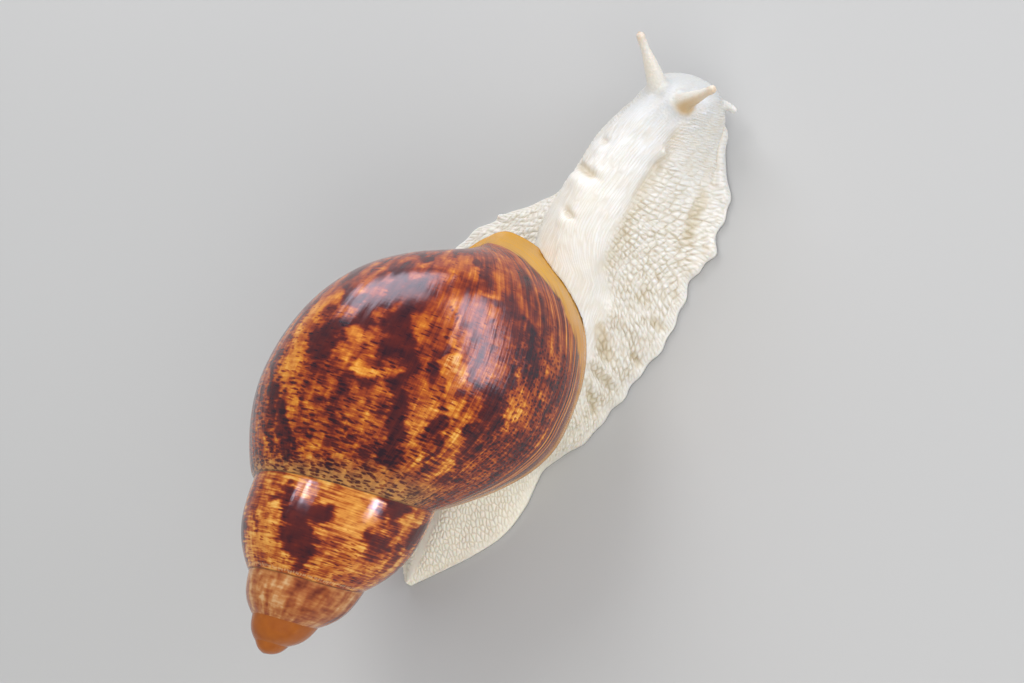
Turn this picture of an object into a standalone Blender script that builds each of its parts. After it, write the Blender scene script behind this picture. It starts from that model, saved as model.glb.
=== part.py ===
"""Giant african land snail (Archachatina type, pale-bodied), crawling, life size.

Axes: +Z up, the animal faces -Y, its right side is -X, its left side +X.
The origin is on the floor under the middle of the sole.

Everything is first laid out in millimetres as (forward, right, up) and turned
into world metres by W(). The shell is a helicospiral grown turn by turn from
its apex to the lip. The flesh is one loft of cross-sections, parted afterwards
into head, neck, foot lengths and tail by thin cuts.
"""

import math

import bmesh
import bpy
import numpy as np
from mathutils import Vector

for old in list(bpy.data.objects):
    bpy.data.objects.remove(old, do_unlink=True)

MM = 0.001
GAP = 0.3  # clearance between neighbouring solids, mm

# ---------------------------------------------------------------- shell sizes
APEX = (-85.3, -1.95, 45.5)  # tip of the spire: forward, right, up
AXIS_YAW = 8.3  # the axis runs this many degrees to the left, going forward
AXIS_DIP = 7.0  # and this many degrees downward, going forward
LIP_ANGLE = 207.0  # half-plane of the outer lip, from left over the top
TURNS = 4.5
COLUMNS = 40  # columns of faces in one turn
# every half turn back from the lip: axial distance of the suture from the tip, radius
SUTURE = (
    (44.0, 20.2), (33.0, 18.7), (21.4, 13.8), (14.5, 10.8), (10.0, 8.3),
    (6.5, 5.9), (3.7, 4.3), (1.8, 2.9), (0.5, 1.5), (0.0, 0.0),
)
# widest line of the last whorl at the lip, half a turn back and a turn back
WIDEST = ((73.0, 36.7), (56.7, 27.2), (39.5, 20.6))
BASE = (107.0, 88.5, 73.0)  # foremost point of the same three sections
WHORL_GROWTH = 1.8  # size ratio of one turn to the turn before
COLUMELLA_RADIUS = 8.0  # bend at the foremost point of the lip
COLUMELLA_DEPTH = 9.0  # how far the section comes back along the axis
WHORL_BULGE = 0.11
SHOULDER = 0.35
LIP_FLARE = 1.8
SHELL_WALL = 1.7
APERTURE_DEPTH = 5.0
MANTLE_SWELL = 2.4  # how far the collar stands out of the aperture

# ----------------------------------------------------------------- body sizes
MARGIN_HEIGHT = 1.7  # the rolled edge of the foot
SOLE_INSET = 0.9
# forward, ridge offset, height, left shoulder, left waist, left edge,
# right shoulder, right waist, right edge, underside
STATIONS = (
    (-62.0, -2.2, 1.9, -2.6, -3.0, -3.4, -1.8, -1.5, -1.2, 0.0),
    (-58.5, -1.6, 3.6, -3.6, -5.0, -6.2, 0.0, 0.9, 1.6, 0.0),
    (-54.0, -1.2, 5.8, -4.8, -7.8, -10.0, 1.8, 3.8, 5.0, 0.0),
    (-48.0, -0.8, 8.4, -6.2, -10.6, -13.4, 4.0, 7.2, 9.2, 0.0),
    (-40.0, -0.4, 11.0, -7.4, -12.8, -16.2, 6.4, 11.0, 13.4, 0.0),
    (-31.0, 0.6, 15.0, -7.6, -13.6, -18.6, 8.8, 12.6, 14.6, 0.0),
    (-23.0, 4.2, 22.5, -4.4, -13.0, -22.0, 12.6, 13.6, 13.9, 0.0),
    (-12.0, 6.6, 27.5, -2.6, -13.4, -27.0, 17.4, 18.8, 19.3, 0.0),
    (0.0, 6.0, 28.5, -3.6, -14.0, -33.0, 17.0, 19.8, 21.9, 0.0),
    (10.0, 4.4, 27.0, -6.0, -14.8, -36.2, 15.0, 19.8, 23.4, 0.0),
    (18.0, 3.0, 27.8, -8.0, -14.6, -34.2, 13.4, 19.4, 24.3, 0.0),
    (26.0, 2.2, 29.8, -8.8, -14.0, -28.6, 12.2, 18.6, 23.6, 0.0),
    (34.0, 2.0, 30.0, -9.2, -13.6, -21.2, 11.6, 17.6, 22.9, 0.0),
    (42.0, 2.0, 28.4, -9.4, -13.2, -18.0, 11.0, 16.8, 22.5, 0.0),
    (50.0, 1.9, 26.4, -9.6, -12.6, -15.0, 10.4, 15.8, 21.2, 0.0),
    (57.0, 2.1, 23.8, -8.8, -11.0, -12.2, 10.4, 14.0, 17.6, 0.0),
    (63.0, 2.4, 21.2, -7.7, -9.0, -9.2, 11.0, 12.8, 13.6, 0.0),
    (67.0, 2.6, 19.4, -7.0, -7.8, -6.6, 11.6, 12.2, 11.6, 0.6),
    (70.0, 2.8, 17.6, -6.0, -6.4, -4.4, 11.0, 11.2, 9.6, 2.6),
    (72.4, 3.0, 15.2, -4.0, -4.2, -2.2, 9.3, 9.4, 7.8, 4.6),
    (73.8, 3.2, 12.8, -0.8, -0.8, 0.2, 6.8, 6.8, 6.0, 7.4),
    (74.3, 3.3, 11.4, 1.4, 1.4, 1.9, 4.9, 4.9, 4.6, 8.8),
)
SHOULDER_AT, WAIST_AT = 0.66, 0.30  # heights of shoulder and waist, of the ridge
CROWN_OUT, CROWN_UP = 0.64, 0.62  # the round of the back, between shoulder and ridge
BODY_RINGS = 64
BACK_POINTS = 20  # points over the back, from edge to edge
EDGE_WAVE = 0.32  # fine wave of the foot's edge, mm
WAVE_LENGTH = 6.8
# broad lobes of the right edge: where, how far out, how long
EDGE_LOBES = ((53.6, 1.5, 2.6), (40.6, 1.9, 2.4), (33.0, -0.7, 2.4), (18.0, 0.5, 3.0))

# cuts that part the body
CUT_TAIL, CUT_MIDDLE, CUT_NECK = -27.0, 19.0, 58.5
CUT_FOOT = 6.2

# feelers: base, elbow, tip as (forward, right, up), and radii
UPPER_LEFT = ((64.8, -0.6, 14.0), (69.6, -3.2, 21.6), (74.0, -6.8, 28.2))
UPPER_RIGHT = ((64.6, 1.6, 14.0), (67.0, 8.4, 21.0), (70.4, 14.3, 26.1))
LOWER_LEFT = ((68.4, -1.0, 8.8), (71.2, -3.6, 7.6), (71.4, -7.2, 6.4))
LOWER_RIGHT = ((69.2, 4.6, 8.8), (72.6, 7.6, 7.4), (71.8, 12.0, 6.2))
UPPER_RADII = (3.4, 2.8, 2.15, 1.62, 1.2, 0.94, 1.04)
LOWER_RADII = (1.8, 1.5, 1.24, 1.04, 0.95, 0.92)
EYE_RADIUS = 0.42

# ------------------------------------------------------------------- finishes
FLESH = ((0.80, 0.74, 0.60, 1.0), 0.45)
MANTLE = ((0.86, 0.80, 0.66, 1.0), 0.35)
SHELL = ((0.30, 0.10, 0.02, 1.0), 0.18)
EYE = ((0.55, 0.42, 0.32, 1.0), 0.15)


def W(p):
    """World metres from (forward, right, up) in millimetres."""
    return Vector((-p[1] * MM, -p[0] * MM, p[2] * MM))


def knots(table, x):
    """Smooth curve through evenly spaced values, read at x from 0 to n - 1."""
    t = np.asarray(table, float)
    n = len(t)
    x = np.clip(np.asarray(x, float), 0, n - 1)
    i = np.minimum(x.astype(int), n - 2)
    f = x - i
    before = 2 * t[0] - t[1] + (t[0] - 2 * t[1] + t[2]) * 0.5
    e = np.concatenate([[before], t, [2 * t[-1] - t[-2]]])
    m1, m2 = (e[i + 2] - e[i]) / 2, (e[i + 3] - e[i + 1]) / 2
    return (
        (2 * f**3 - 3 * f**2 + 1) * e[i + 1]
        + (f**3 - 2 * f**2 + f) * m1
        + (3 * f**2 - 2 * f**3) * e[i + 2]
        + (f**3 - f**2) * m2
    )


def curve(xs, ys, x):
    """Smooth curve through (xs, ys) with unevenly spaced xs."""
    xs, ys = np.asarray(xs, float), np.asarray(ys, float)
    d = np.diff(ys) / np.diff(xs)
    m = np.concatenate([[d[0]], (d[:-1] + d[1:]) / 2, [d[-1]]])
    m[1:-1] = np.where(d[:-1] * d[1:] <= 0, m[1:-1] * 0.35, m[1:-1])
    i = np.clip(np.searchsorted(xs, x) - 1, 0, len(xs) - 2)
    h = xs[i + 1] - xs[i]
    f = (x - xs[i]) / h
    return (
        (2 * f**3 - 3 * f**2 + 1) * ys[i]
        + (f**3 - 2 * f**2 + f) * h * m[i]
        + (3 * f**2 - 2 * f**3) * ys[i + 1]
        + (f**3 - f**2) * h * m[i + 1]
    )


# ---------------------------------------------------------------------- shell
def suture(turn):
    x = -2 * np.asarray(turn, float)
    return knots([s[0] for s in SUTURE], x), knots([s[1] for s in SUTURE], x)


def widest(turn):
    """Widest point of a section. Before the last whorl it keeps its place between two sutures."""
    x = -2 * turn
    a, r = knots([w[0] for w in WIDEST], x), knots([w[1] for w in WIDEST], x)
    s0, q0 = suture(turn)
    s1, q1 = suture(np.minimum(turn + 1, 0))
    share = (WIDEST[2][0] - SUTURE[2][0]) / (SUTURE[0][0] - SUTURE[2][0])
    rise = WIDEST[2][1] - SUTURE[2][1] - share * (SUTURE[0][1] - SUTURE[2][1])
    rise /= math.hypot(SUTURE[0][0] - SUTURE[2][0], SUTURE[0][1] - SUTURE[2][1])
    early = turn < -1
    return (
        np.where(early, s0 + share * (s1 - s0), a),
        np.where(early, q0 + share * (q1 - q0) + rise * np.hypot(s1 - s0, q1 - q0), r),
    )


def section(turn, t):
    """(axial, radial) of the whorl: t 0 at its suture, 1 where the next whorl covers it, 2 on the axis."""
    turn, t = np.broadcast_arrays(np.asarray(turn, float), np.asarray(t, float))
    a0, r0 = suture(turn)
    am, rm = widest(turn)
    size = WHORL_GROWTH**turn
    front = knots(BASE, -2 * turn)
    rc = COLUMELLA_RADIUS * size
    shoulder = SHOULDER * np.clip(-turn * 2, 0, 1)

    def free(t):
        x = np.clip(t / 0.8, 0, 1)
        y = (1 - shoulder) * np.sin(np.pi / 2 * np.clip(1.06 * x, 0, 1))
        y = y + shoulder * np.sqrt(1 - (1 - x) ** 2)
        an = np.pi / 2 * np.clip(t - 0.8, 0, 1) ** 1.4
        u = np.clip((t - 1.8) / 0.2, 0, 1)
        a = np.where(
            t < 0.8,
            a0 + (am - a0) * x,
            am + (front - am) * np.sin(an) - u**2 * COLUMELLA_DEPTH * size,
        )
        r = np.where(t < 0.8, r0 + (rm - r0) * y, rc + (rm - rc) * np.cos(an) - u * rc)
        return a, r

    a, r = free(t)
    a_one, r_one = free(np.ones_like(t))
    a1, r1 = suture(np.minimum(turn + 1, 0))
    x = np.clip(t, 0, 1)
    bulge = WHORL_BULGE * np.sin(np.pi * x**0.9)
    a_spire = a0 + (a1 - a0) * x - (r1 - r0) * bulge
    r_spire = r0 + (r1 - r0) * x + (a1 - a0) * bulge
    k = np.clip((-0.65 - turn) / 0.35, 0, 1)
    k = k * k * (3 - 2 * k)
    fade = np.where(t < 1, 1.0, np.cos(np.pi / 2 * np.clip(t - 1, 0, 1)) ** 2)
    a = a + k * fade * np.where(t < 1, a_spire - a, a1 - a_one)
    r = r + k * fade * np.where(t < 1, r_spire - r, r1 - r_one)
    flare = LIP_FLARE * np.clip(1 + turn * 7, 0, 1) ** 1.5
    forward = np.clip((t - 0.9) / 0.5, 0, 1)
    forward = forward * forward * (3 - 2 * forward)
    flare = flare * np.sin(np.pi * np.clip(t / 1.9, 0, 1)) ** 0.6 * (1 + 0.5 * forward)
    na, nr = (a - am) / 31, r / 38
    n = np.hypot(na, nr) + 1e-6
    return a + flare * na / n, r + flare * nr / n


YAW, DIP = math.radians(AXIS_YAW), math.radians(AXIS_DIP)
AXIS = Vector((math.sin(YAW) * math.cos(DIP), -math.cos(YAW) * math.cos(DIP), -math.sin(DIP)))
ACROSS = Vector((math.cos(YAW), math.sin(YAW), 0.0))
UPWARD = ACROSS.cross(AXIS)
if UPWARD.z < 0:
    UPWARD = -UPWARD
TIP = W(APEX)


def on_shell(a, r, turn):
    """World point at axial distance a and radius r on the half-plane of a turn."""
    phi = math.radians(LIP_ANGLE) + 2 * math.pi * turn
    return TIP + (AXIS * a + ACROSS * (r * math.cos(phi)) + UPWARD * (r * math.sin(phi))) * MM


SPIRE_T = np.linspace(0, 1, 8)
BASE_T = np.concatenate([np.linspace(1, 1.8, 10)[1:], np.linspace(1.8, 2.0, 4)[1:]])


def shell_mesh(name):
    """Closed shell: the spiral surface with the flat aperture face across its mouth.

    The rim t = 1 of one turn is the suture of the next, so both use the same
    vertices. The first turn starts at the tip.
    """
    bm = bmesh.new()
    total = int(TURNS * COLUMNS)
    turn_of = [-(total - i) / COLUMNS for i in range(total + 1)]
    tip = bm.verts.new(TIP)
    rim = {}
    grid = []
    for i, turn in enumerate(turn_of):
        a, r = section(np.full(len(SPIRE_T), turn), SPIRE_T)
        column = [rim[i - COLUMNS] if i >= COLUMNS else tip]
        for j in range(1, len(SPIRE_T)):
            column.append(tip if i == 0 else bm.verts.new(on_shell(a[j], r[j], turn)))
        rim[i] = column[-1]
        grid.append(column)
    for i in range(total):
        for j in range(len(SPIRE_T) - 1):
            face = [grid[i][j], grid[i + 1][j], grid[i + 1][j + 1], grid[i][j + 1]]
            unique = list(dict.fromkeys(face))
            if len(unique) > 2:
                bm.faces.new(unique)
    first = total - COLUMNS
    low = {}
    for i in range(first, total + 1):
        turn = turn_of[i]
        a, r = section(np.full(len(BASE_T), turn), BASE_T)
        r[-1] = 0.0
        low[i] = [grid[i][-1]] + [
            bm.verts.new(on_shell(a[j], r[j], turn)) for j in range(len(BASE_T))
        ]
    for i in range(first, total):
        for j in range(len(BASE_T)):
            bm.faces.new([low[i][j], low[i + 1][j], low[i + 1][j + 1], low[i][j + 1]])
    # the mouth: along the lip, back down the axis, and up the wall of the turn before
    mouth = list(grid[total]) + low[total][1:]
    mouth += [low[i][-1] for i in range(total - 1, first - 1, -1)]
    mouth += low[first][-2:0:-1]
    bm.faces.new(mouth)
    bmesh.ops.recalc_face_normals(bm, faces=bm.faces)
    bmesh.ops.triangulate(bm, faces=bm.faces, ngon_method="EAR_CLIP")
    return finish(bm, name)


def aperture(inset):
    """The mouth's outline in (axial, radial), drawn in by inset, as a list of 2-D points."""
    t = np.concatenate([SPIRE_T, BASE_T])
    a, r = section(np.zeros(len(t)), t)
    outer = list(zip(a, r))
    back = [section(i / -COLUMNS, 2.0) for i in range(0, COLUMNS + 1, 5)]
    axis = [(float(p[0]), 0.0) for p in back[1:]]
    a, r = section(np.full(len(BASE_T), -1.0), BASE_T)
    wall = list(zip(a, r))[-2::-1]
    loop = np.array(outer + axis + wall, float)
    # even the spacing, then move every point along its inward normal
    closed = np.vstack([loop, loop[:1]])
    run = np.concatenate([[0], np.cumsum(np.hypot(*np.diff(closed, axis=0).T))])
    at = np.linspace(0, run[-1], 49)[:-1]
    even = np.stack([np.interp(at, run, closed[:, k]) for k in (0, 1)], 1)
    for _ in range(6):
        even = 0.5 * even + 0.25 * (np.roll(even, 1, 0) + np.roll(even, -1, 0))
    tangent = np.roll(even, -1, 0) - np.roll(even, 1, 0)
    tangent /= np.hypot(*tangent.T)[:, None]
    normal = np.stack([-tangent[:, 1], tangent[:, 0]], 1)
    area = np.sum(even[:, 0] * np.roll(even[:, 1], -1) - even[:, 1] * np.roll(even[:, 0], -1))
    return even + normal * (inset if area > 0 else -inset)


def mouth_plug(name, inset, rings):
    """Loft through copies of the mouth's outline. Each ring is (distance out of the mouth, scale)."""
    outline = aperture(inset)
    middle = outline.mean(axis=0)
    out = AXIS * 0
    phi = math.radians(LIP_ANGLE)
    growth = -ACROSS * math.sin(phi) + UPWARD * math.cos(phi)
    bm = bmesh.new()
    loops = []
    for distance, scale in rings:
        loop = []
        for p in middle + (outline - middle) * scale:
            point = on_shell(p[0], p[1], 0.0) + growth * (distance * MM)
            loop.append(bm.verts.new(point + out))
        loops.append(loop)
    n = len(outline)
    for low, high in zip(loops, loops[1:]):
        for i in range(n):
            bm.faces.new([low[i], low[(i + 1) % n], high[(i + 1) % n], high[i]])
    bm.faces.new(loops[0])
    bm.faces.new(loops[-1])
    bmesh.ops.recalc_face_normals(bm, faces=bm.faces)
    bmesh.ops.triangulate(bm, faces=bm.faces, ngon_method="EAR_CLIP")
    return finish(bm, name)


# ----------------------------------------------------------------------- body
def edge_wave(forward, phase):
    """Fine wave along the foot's edge, strongest where the foot is spread widest."""
    spread = np.clip((forward + 30) / 30, 0, 1) * np.clip((62 - forward) / 10, 0, 1)
    return EDGE_WAVE * spread * (
        np.sin(2 * np.pi * forward / WAVE_LENGTH + phase)
        + 0.6 * np.sin(2 * np.pi * forward / (WAVE_LENGTH * 1.73) + 2.1 * phase)
    )


def body_section(forward):
    """Closed section at one station: over the back from the left edge to the right, then along the sole."""
    xs = [s[0] for s in STATIONS]
    ridge, height, l1, l2, l3, r1, r2, r3, under = (
        float(curve(xs, [s[k] for s in STATIONS], forward)) for k in range(1, 10)
    )
    l3 -= float(edge_wave(forward, 2.2))
    r3 += float(edge_wave(forward, 0.4))
    r3 += sum(out * math.exp(-(((forward - at) / wide) ** 2)) for at, out, wide in EDGE_LOBES)
    edge = under + min(MARGIN_HEIGHT, (height - under) * 0.35)
    rise = height - under
    crown = SHOULDER_AT + (1 - SHOULDER_AT) * CROWN_UP
    pts = np.array([
        (l3, edge), (l2, under + rise * WAIST_AT), (l1, under + rise * SHOULDER_AT),
        (ridge + (l1 - ridge) * CROWN_OUT, under + rise * crown), (ridge, height),
        (ridge + (r1 - ridge) * CROWN_OUT, under + rise * crown),
        (r1, under + rise * SHOULDER_AT), (r2, under + rise * WAIST_AT), (r3, edge),
    ])
    # smooth curve over the back by chord length
    run = np.concatenate([[0], np.cumsum(np.hypot(*np.diff(pts, axis=0).T) ** 0.5)])
    at = np.linspace(0, run[-1], BACK_POINTS)
    back = np.stack([curve(run, pts[:, k], at) for k in (0, 1)], 1)
    inset = min(SOLE_INSET, (r3 - l3) * 0.15)
    sole = [(r3 - inset * 0.25, under + (edge - under) * 0.35), (r3 - inset, under)]
    sole += [(l3 + inset + (r3 - l3 - 2 * inset) * k, under) for k in (0.75, 0.5, 0.25, 0.0)]
    sole += [(l3 + inset * 0.25, under + (edge - under) * 0.35)]
    return [(forward, s, z) for s, z in list(map(tuple, back)) + sole]


def body_mesh(name):
    span = STATIONS[-1][0] - STATIONS[0][0]
    steps = np.linspace(0, 1, BODY_RINGS)
    # rings lie closer together near the head
    ease = steps - 0.10 * np.sin(2 * np.pi * steps) / (2 * np.pi) + 0.0
    ease = 1 - (1 - ease) ** 1.25
    ease = (ease - ease[0]) / (ease[-1] - ease[0])
    bm = bmesh.new()
    rings = []
    for e in ease:
        rings.append([bm.verts.new(W(p)) for p in body_section(STATIONS[0][0] + span * e)])
    n = len(rings[0])
    for low, high in zip(rings, rings[1:]):
        for i in range(n):
            bm.faces.new([low[i], low[(i + 1) % n], high[(i + 1) % n], high[i]])
    bm.faces.new(rings[0])
    bm.faces.new(rings[-1])
    bmesh.ops.recalc_face_normals(bm, faces=bm.faces)
    bmesh.ops.triangulate(bm, faces=bm.faces)
    return finish(bm, name)


def tube(name, points, radii, sides=10, rings=9):
    """Tapered feeler along a bent line, with a rounded tip."""
    p = np.array(points, float)
    bm = bmesh.new()
    loops = []
    for k in range(rings):
        u = k / (rings - 1)
        b = (1 - u) ** 2 * p[0] + 2 * u * (1 - u) * p[1] + u * u * p[2]
        d = 2 * (1 - u) * (p[1] - p[0]) + 2 * u * (p[2] - p[1])
        d /= np.linalg.norm(d)
        side = np.cross(d, (0.0, 0.0, 1.0))
        side /= np.linalg.norm(side)
        up = np.cross(side, d)
        radius = float(knots(radii, u * (len(radii) - 1)))
        loops.append([
            bm.verts.new(W(b + radius * (side * math.cos(w) + up * math.sin(w))))
            for w in (2 * math.pi * i / sides for i in range(sides))
        ])
    for step, shrink in ((0.55, 0.82), (0.9, 0.45)):
        loops.append([
            bm.verts.new(W(b + d * radius * step + radius * shrink * (side * math.cos(w) + up * math.sin(w))))
            for w in (2 * math.pi * i / sides for i in range(sides))
        ])
    for low, high in zip(loops, loops[1:]):
        for i in range(sides):
            bm.faces.new([low[i], low[(i + 1) % sides], high[(i + 1) % sides], high[i]])
    bm.faces.new(loops[0])
    bm.faces.new(loops[-1])
    bmesh.ops.recalc_face_normals(bm, faces=bm.faces)
    bmesh.ops.triangulate(bm, faces=bm.faces)
    return finish(bm, name), b + d * radius * 0.95, d


def ball(name, centre, size, segments=12, rings=8):
    bm = bmesh.new()
    bmesh.ops.create_uvsphere(bm, u_segments=segments, v_segments=rings, radius=1.0)
    for v in bm.verts:
        x, y, z = v.co
        v.co = W((centre[0] + size[0] * y, centre[1] + size[1] * x, centre[2] + size[2] * z))
    bmesh.ops.recalc_face_normals(bm, faces=bm.faces)
    bmesh.ops.triangulate(bm, faces=bm.faces)
    return finish(bm, name)


def box(name, low, high):
    """Cutter between two corners given as (forward, right, up)."""
    bm = bmesh.new()
    bmesh.ops.create_cube(bm, size=1.0)
    a, b = W(low), W(high)
    for v in bm.verts:
        v.co = Vector([(a[k] + b[k]) / 2 + v.co[k] * abs(b[k] - a[k]) for k in range(3)])
    return guide(finish(bm, name))


# -------------------------------------------------------------------- objects
def finish(bm, name):
    if bm.calc_volume(signed=True) < 0:
        bmesh.ops.reverse_faces(bm, faces=bm.faces)
    mesh = bpy.data.meshes.new(name)
    bm.to_mesh(mesh)
    bm.free()
    mesh.shade_smooth()
    obj = bpy.data.objects.new(name, mesh)
    bpy.context.scene.collection.objects.link(obj)
    return obj


def guide(obj):
    obj.hide_render = True
    obj.display_type = "WIRE"
    return obj


def grown(obj, name, by):
    """Copy of an object with its surface moved outward, as a cutter."""
    copy = obj.data.copy()
    copy.name = name
    normals = [v.normal.copy() for v in copy.vertices]
    for v, n in zip(copy.vertices, normals):
        v.co = v.co + n * (by * MM)
    new = bpy.data.objects.new(name, copy)
    bpy.context.scene.collection.objects.link(new)
    return guide(new)


def boolean(obj, other, operation):
    mod = obj.modifiers.new(operation.lower() + "_" + other.name, "BOOLEAN")
    mod.operation = operation
    mod.object = other
    mod.solver = "EXACT"
    return obj


def settle(obj):
    """Replace an object's mesh by its evaluated one, so that later cuts start from it."""
    bpy.context.view_layer.update()
    graph = bpy.context.evaluated_depsgraph_get()
    done = bpy.data.meshes.new_from_object(obj.evaluated_get(graph))
    obj.modifiers.clear()
    obj.data = done
    return obj


def largest_only(obj):
    """Drop the crumbs that a cut leaves beside the main body."""
    bm = bmesh.new()
    bm.from_mesh(obj.data)
    bmesh.ops.remove_doubles(bm, verts=bm.verts, dist=1e-6)
    left, groups = set(bm.verts), []
    while left:
        seed = [left.pop()]
        group = set(seed)
        while seed:
            for e in seed.pop().link_edges:
                for v in e.verts:
                    if v not in group:
                        group.add(v)
                        seed.append(v)
        left -= group
        groups.append(group)
    groups.sort(key=len)
    for group in groups[:-1]:
        bmesh.ops.delete(bm, geom=list(group), context="VERTS")
    bmesh.ops.triangulate(bm, faces=bm.faces)
    bm.to_mesh(obj.data)
    bm.free()
    return obj


def paint(obj, finish_of):
    colour, roughness = finish_of
    mat = bpy.data.materials.new(obj.name + "_finish")
    mat.use_nodes = True
    shader = mat.node_tree.nodes["Principled BSDF"]
    shader.inputs["Base Color"].default_value = colour
    shader.inputs["Roughness"].default_value = roughness
    shader.inputs["Metallic"].default_value = 0.0
    obj.data.materials.clear()
    obj.data.materials.append(mat)
    obj.data.set_sharp_from_angle(angle=math.radians(50))
    return obj


FAR = 200.0

# shell with a shallow mouth, and the collar that fills it
shell = shell_mesh("shell")
shell_space = grown(shell, "shell_space", GAP)
pocket = guide(mouth_plug("mouth_pocket", SHELL_WALL, ((-APERTURE_DEPTH, 0.72), (-1.5, 0.97), (3.0, 1.02))))
boolean(shell, pocket, "DIFFERENCE")
settle(shell)
collar = mouth_plug(
    "mantle_collar",
    SHELL_WALL + GAP,
    ((-APERTURE_DEPTH + 0.5, 0.70), (-1.6, 0.955), (0.2, 0.98), (MANTLE_SWELL * 0.7, 0.93), (MANTLE_SWELL, 0.78)),
)
collar_space = grown(collar, "collar_space", GAP)

# the whole body, cleared of the shell and the collar
body = body_mesh("body_whole")
body_space = grown(body, "body_space", GAP)
boolean(body, shell_space, "DIFFERENCE")
boolean(body, collar_space, "DIFFERENCE")
settle(body)
largest_only(body)
guide(body)

half = GAP / 2
REGIONS = {
    "tail": ((-FAR, -FAR, -FAR), (CUT_TAIL - half, FAR, FAR)),
    "foot_middle": ((CUT_TAIL + half, -FAR, -FAR), (CUT_MIDDLE - half, FAR, FAR)),
    "foot_front": ((CUT_MIDDLE + half, -FAR, -FAR), (FAR, FAR, CUT_FOOT - half)),
    "neck": ((CUT_MIDDLE + half, -FAR, CUT_FOOT + half), (CUT_NECK - half, FAR, FAR)),
    "head": ((CUT_NECK + half, -FAR, CUT_FOOT + half), (FAR, FAR, FAR)),
}
flesh = {}
for name, (low, high) in REGIONS.items():
    piece = bpy.data.objects.new(name, body.data.copy())
    bpy.context.scene.collection.objects.link(piece)
    boolean(piece, box("region_" + name, low, high), "INTERSECT")
    settle(piece)
    flesh[name] = largest_only(piece)

# feelers stand off the head by the gap
tips = {}
for name, line, radii in (
    ("tentacle_upper_left", UPPER_LEFT, UPPER_RADII),
    ("tentacle_upper_right", UPPER_RIGHT, UPPER_RADII),
    ("tentacle_lower_left", LOWER_LEFT, LOWER_RADII),
    ("tentacle_lower_right", LOWER_RIGHT, LOWER_RADII),
):
    feeler, tip, direction = tube(name, line, radii)
    boolean(feeler, body_space, "DIFFERENCE")
    settle(feeler)
    flesh[name] = largest_only(feeler)
    tips[name] = (tip, direction)

# an eye in a small socket at each upper tip
eyes = []
for side in ("left", "right"):
    tip, direction = tips["tentacle_upper_" + side]
    centre = tip - direction * 0.22
    socket = guide(ball("socket_" + side, centre, (EYE_RADIUS + GAP,) * 3))
    feeler = flesh["tentacle_upper_" + side]
    boolean(feeler, socket, "DIFFERENCE")
    settle(feeler)
    largest_only(feeler)
    eyes.append(ball("eye_" + side, centre, (EYE_RADIUS,) * 3, 12, 8))

for obj in flesh.values():
    paint(obj, FLESH)
for obj in eyes:
    paint(obj, EYE)
paint(shell, SHELL)
paint(collar, MANTLE)

# everything hangs from one empty at the middle of the sole
root = bpy.data.objects.new("snail_root", None)
bpy.context.scene.collection.objects.link(root)
for obj in [shell, collar, *flesh.values(), *eyes]:
    obj.parent = root
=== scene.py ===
"""Giant african land snail, the looks: skin, shell, mantle, eyes, light and camera.

Everything is laid out in millimetres as (forward, right, up) and turned into
world metres by world(). The shell is the same helicospiral as the CAD's, and the
skin is the same loft of cross-sections, both much finer. The skin is one closed
mesh over head, neck, foot, tail and feelers.
"""
import math

import bmesh
import bpy
import numpy as np
from mathutils import Matrix, Vector
from mathutils.bvhtree import BVHTree

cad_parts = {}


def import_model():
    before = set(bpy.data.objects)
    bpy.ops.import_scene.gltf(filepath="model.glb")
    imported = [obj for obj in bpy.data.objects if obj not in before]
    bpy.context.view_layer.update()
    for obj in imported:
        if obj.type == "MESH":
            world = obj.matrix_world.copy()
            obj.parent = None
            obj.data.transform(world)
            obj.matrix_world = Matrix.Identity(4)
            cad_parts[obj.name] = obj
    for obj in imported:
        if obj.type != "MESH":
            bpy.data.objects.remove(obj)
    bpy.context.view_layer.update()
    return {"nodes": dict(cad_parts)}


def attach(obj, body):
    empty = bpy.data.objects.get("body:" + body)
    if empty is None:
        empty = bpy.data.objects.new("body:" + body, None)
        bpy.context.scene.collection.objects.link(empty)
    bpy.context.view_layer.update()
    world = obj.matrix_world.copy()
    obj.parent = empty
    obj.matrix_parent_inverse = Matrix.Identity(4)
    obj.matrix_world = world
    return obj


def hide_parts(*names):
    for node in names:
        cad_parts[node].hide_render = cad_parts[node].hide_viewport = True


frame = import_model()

MM = 0.001
RNG = np.random.default_rng(7)

# =============================================================== sizes, as CAD
APEX = (-85.3, -1.95, 45.5)
AXIS_YAW, AXIS_DIP, LIP_ANGLE = 8.3, 7.0, 207.0
TURNS = 4.5
SUTURE = (
    (44.0, 20.2), (33.0, 18.7), (21.4, 13.8), (14.5, 10.8), (10.0, 8.3),
    (6.5, 5.9), (3.7, 4.3), (1.8, 2.9), (0.5, 1.5), (0.0, 0.0),
)
WIDEST = ((73.0, 36.7), (56.7, 27.2), (39.5, 20.6))
BASE = (107.0, 88.5, 73.0)
WHORL_GROWTH = 1.8
COLUMELLA_RADIUS, COLUMELLA_DEPTH = 8.0, 9.0
WHORL_BULGE, SHOULDER, LIP_FLARE = 0.11, 0.35, 1.8
SHELL_WALL = 1.7
APERTURE_DEPTH = 5.0
MANTLE_SWELL = 2.4

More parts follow.
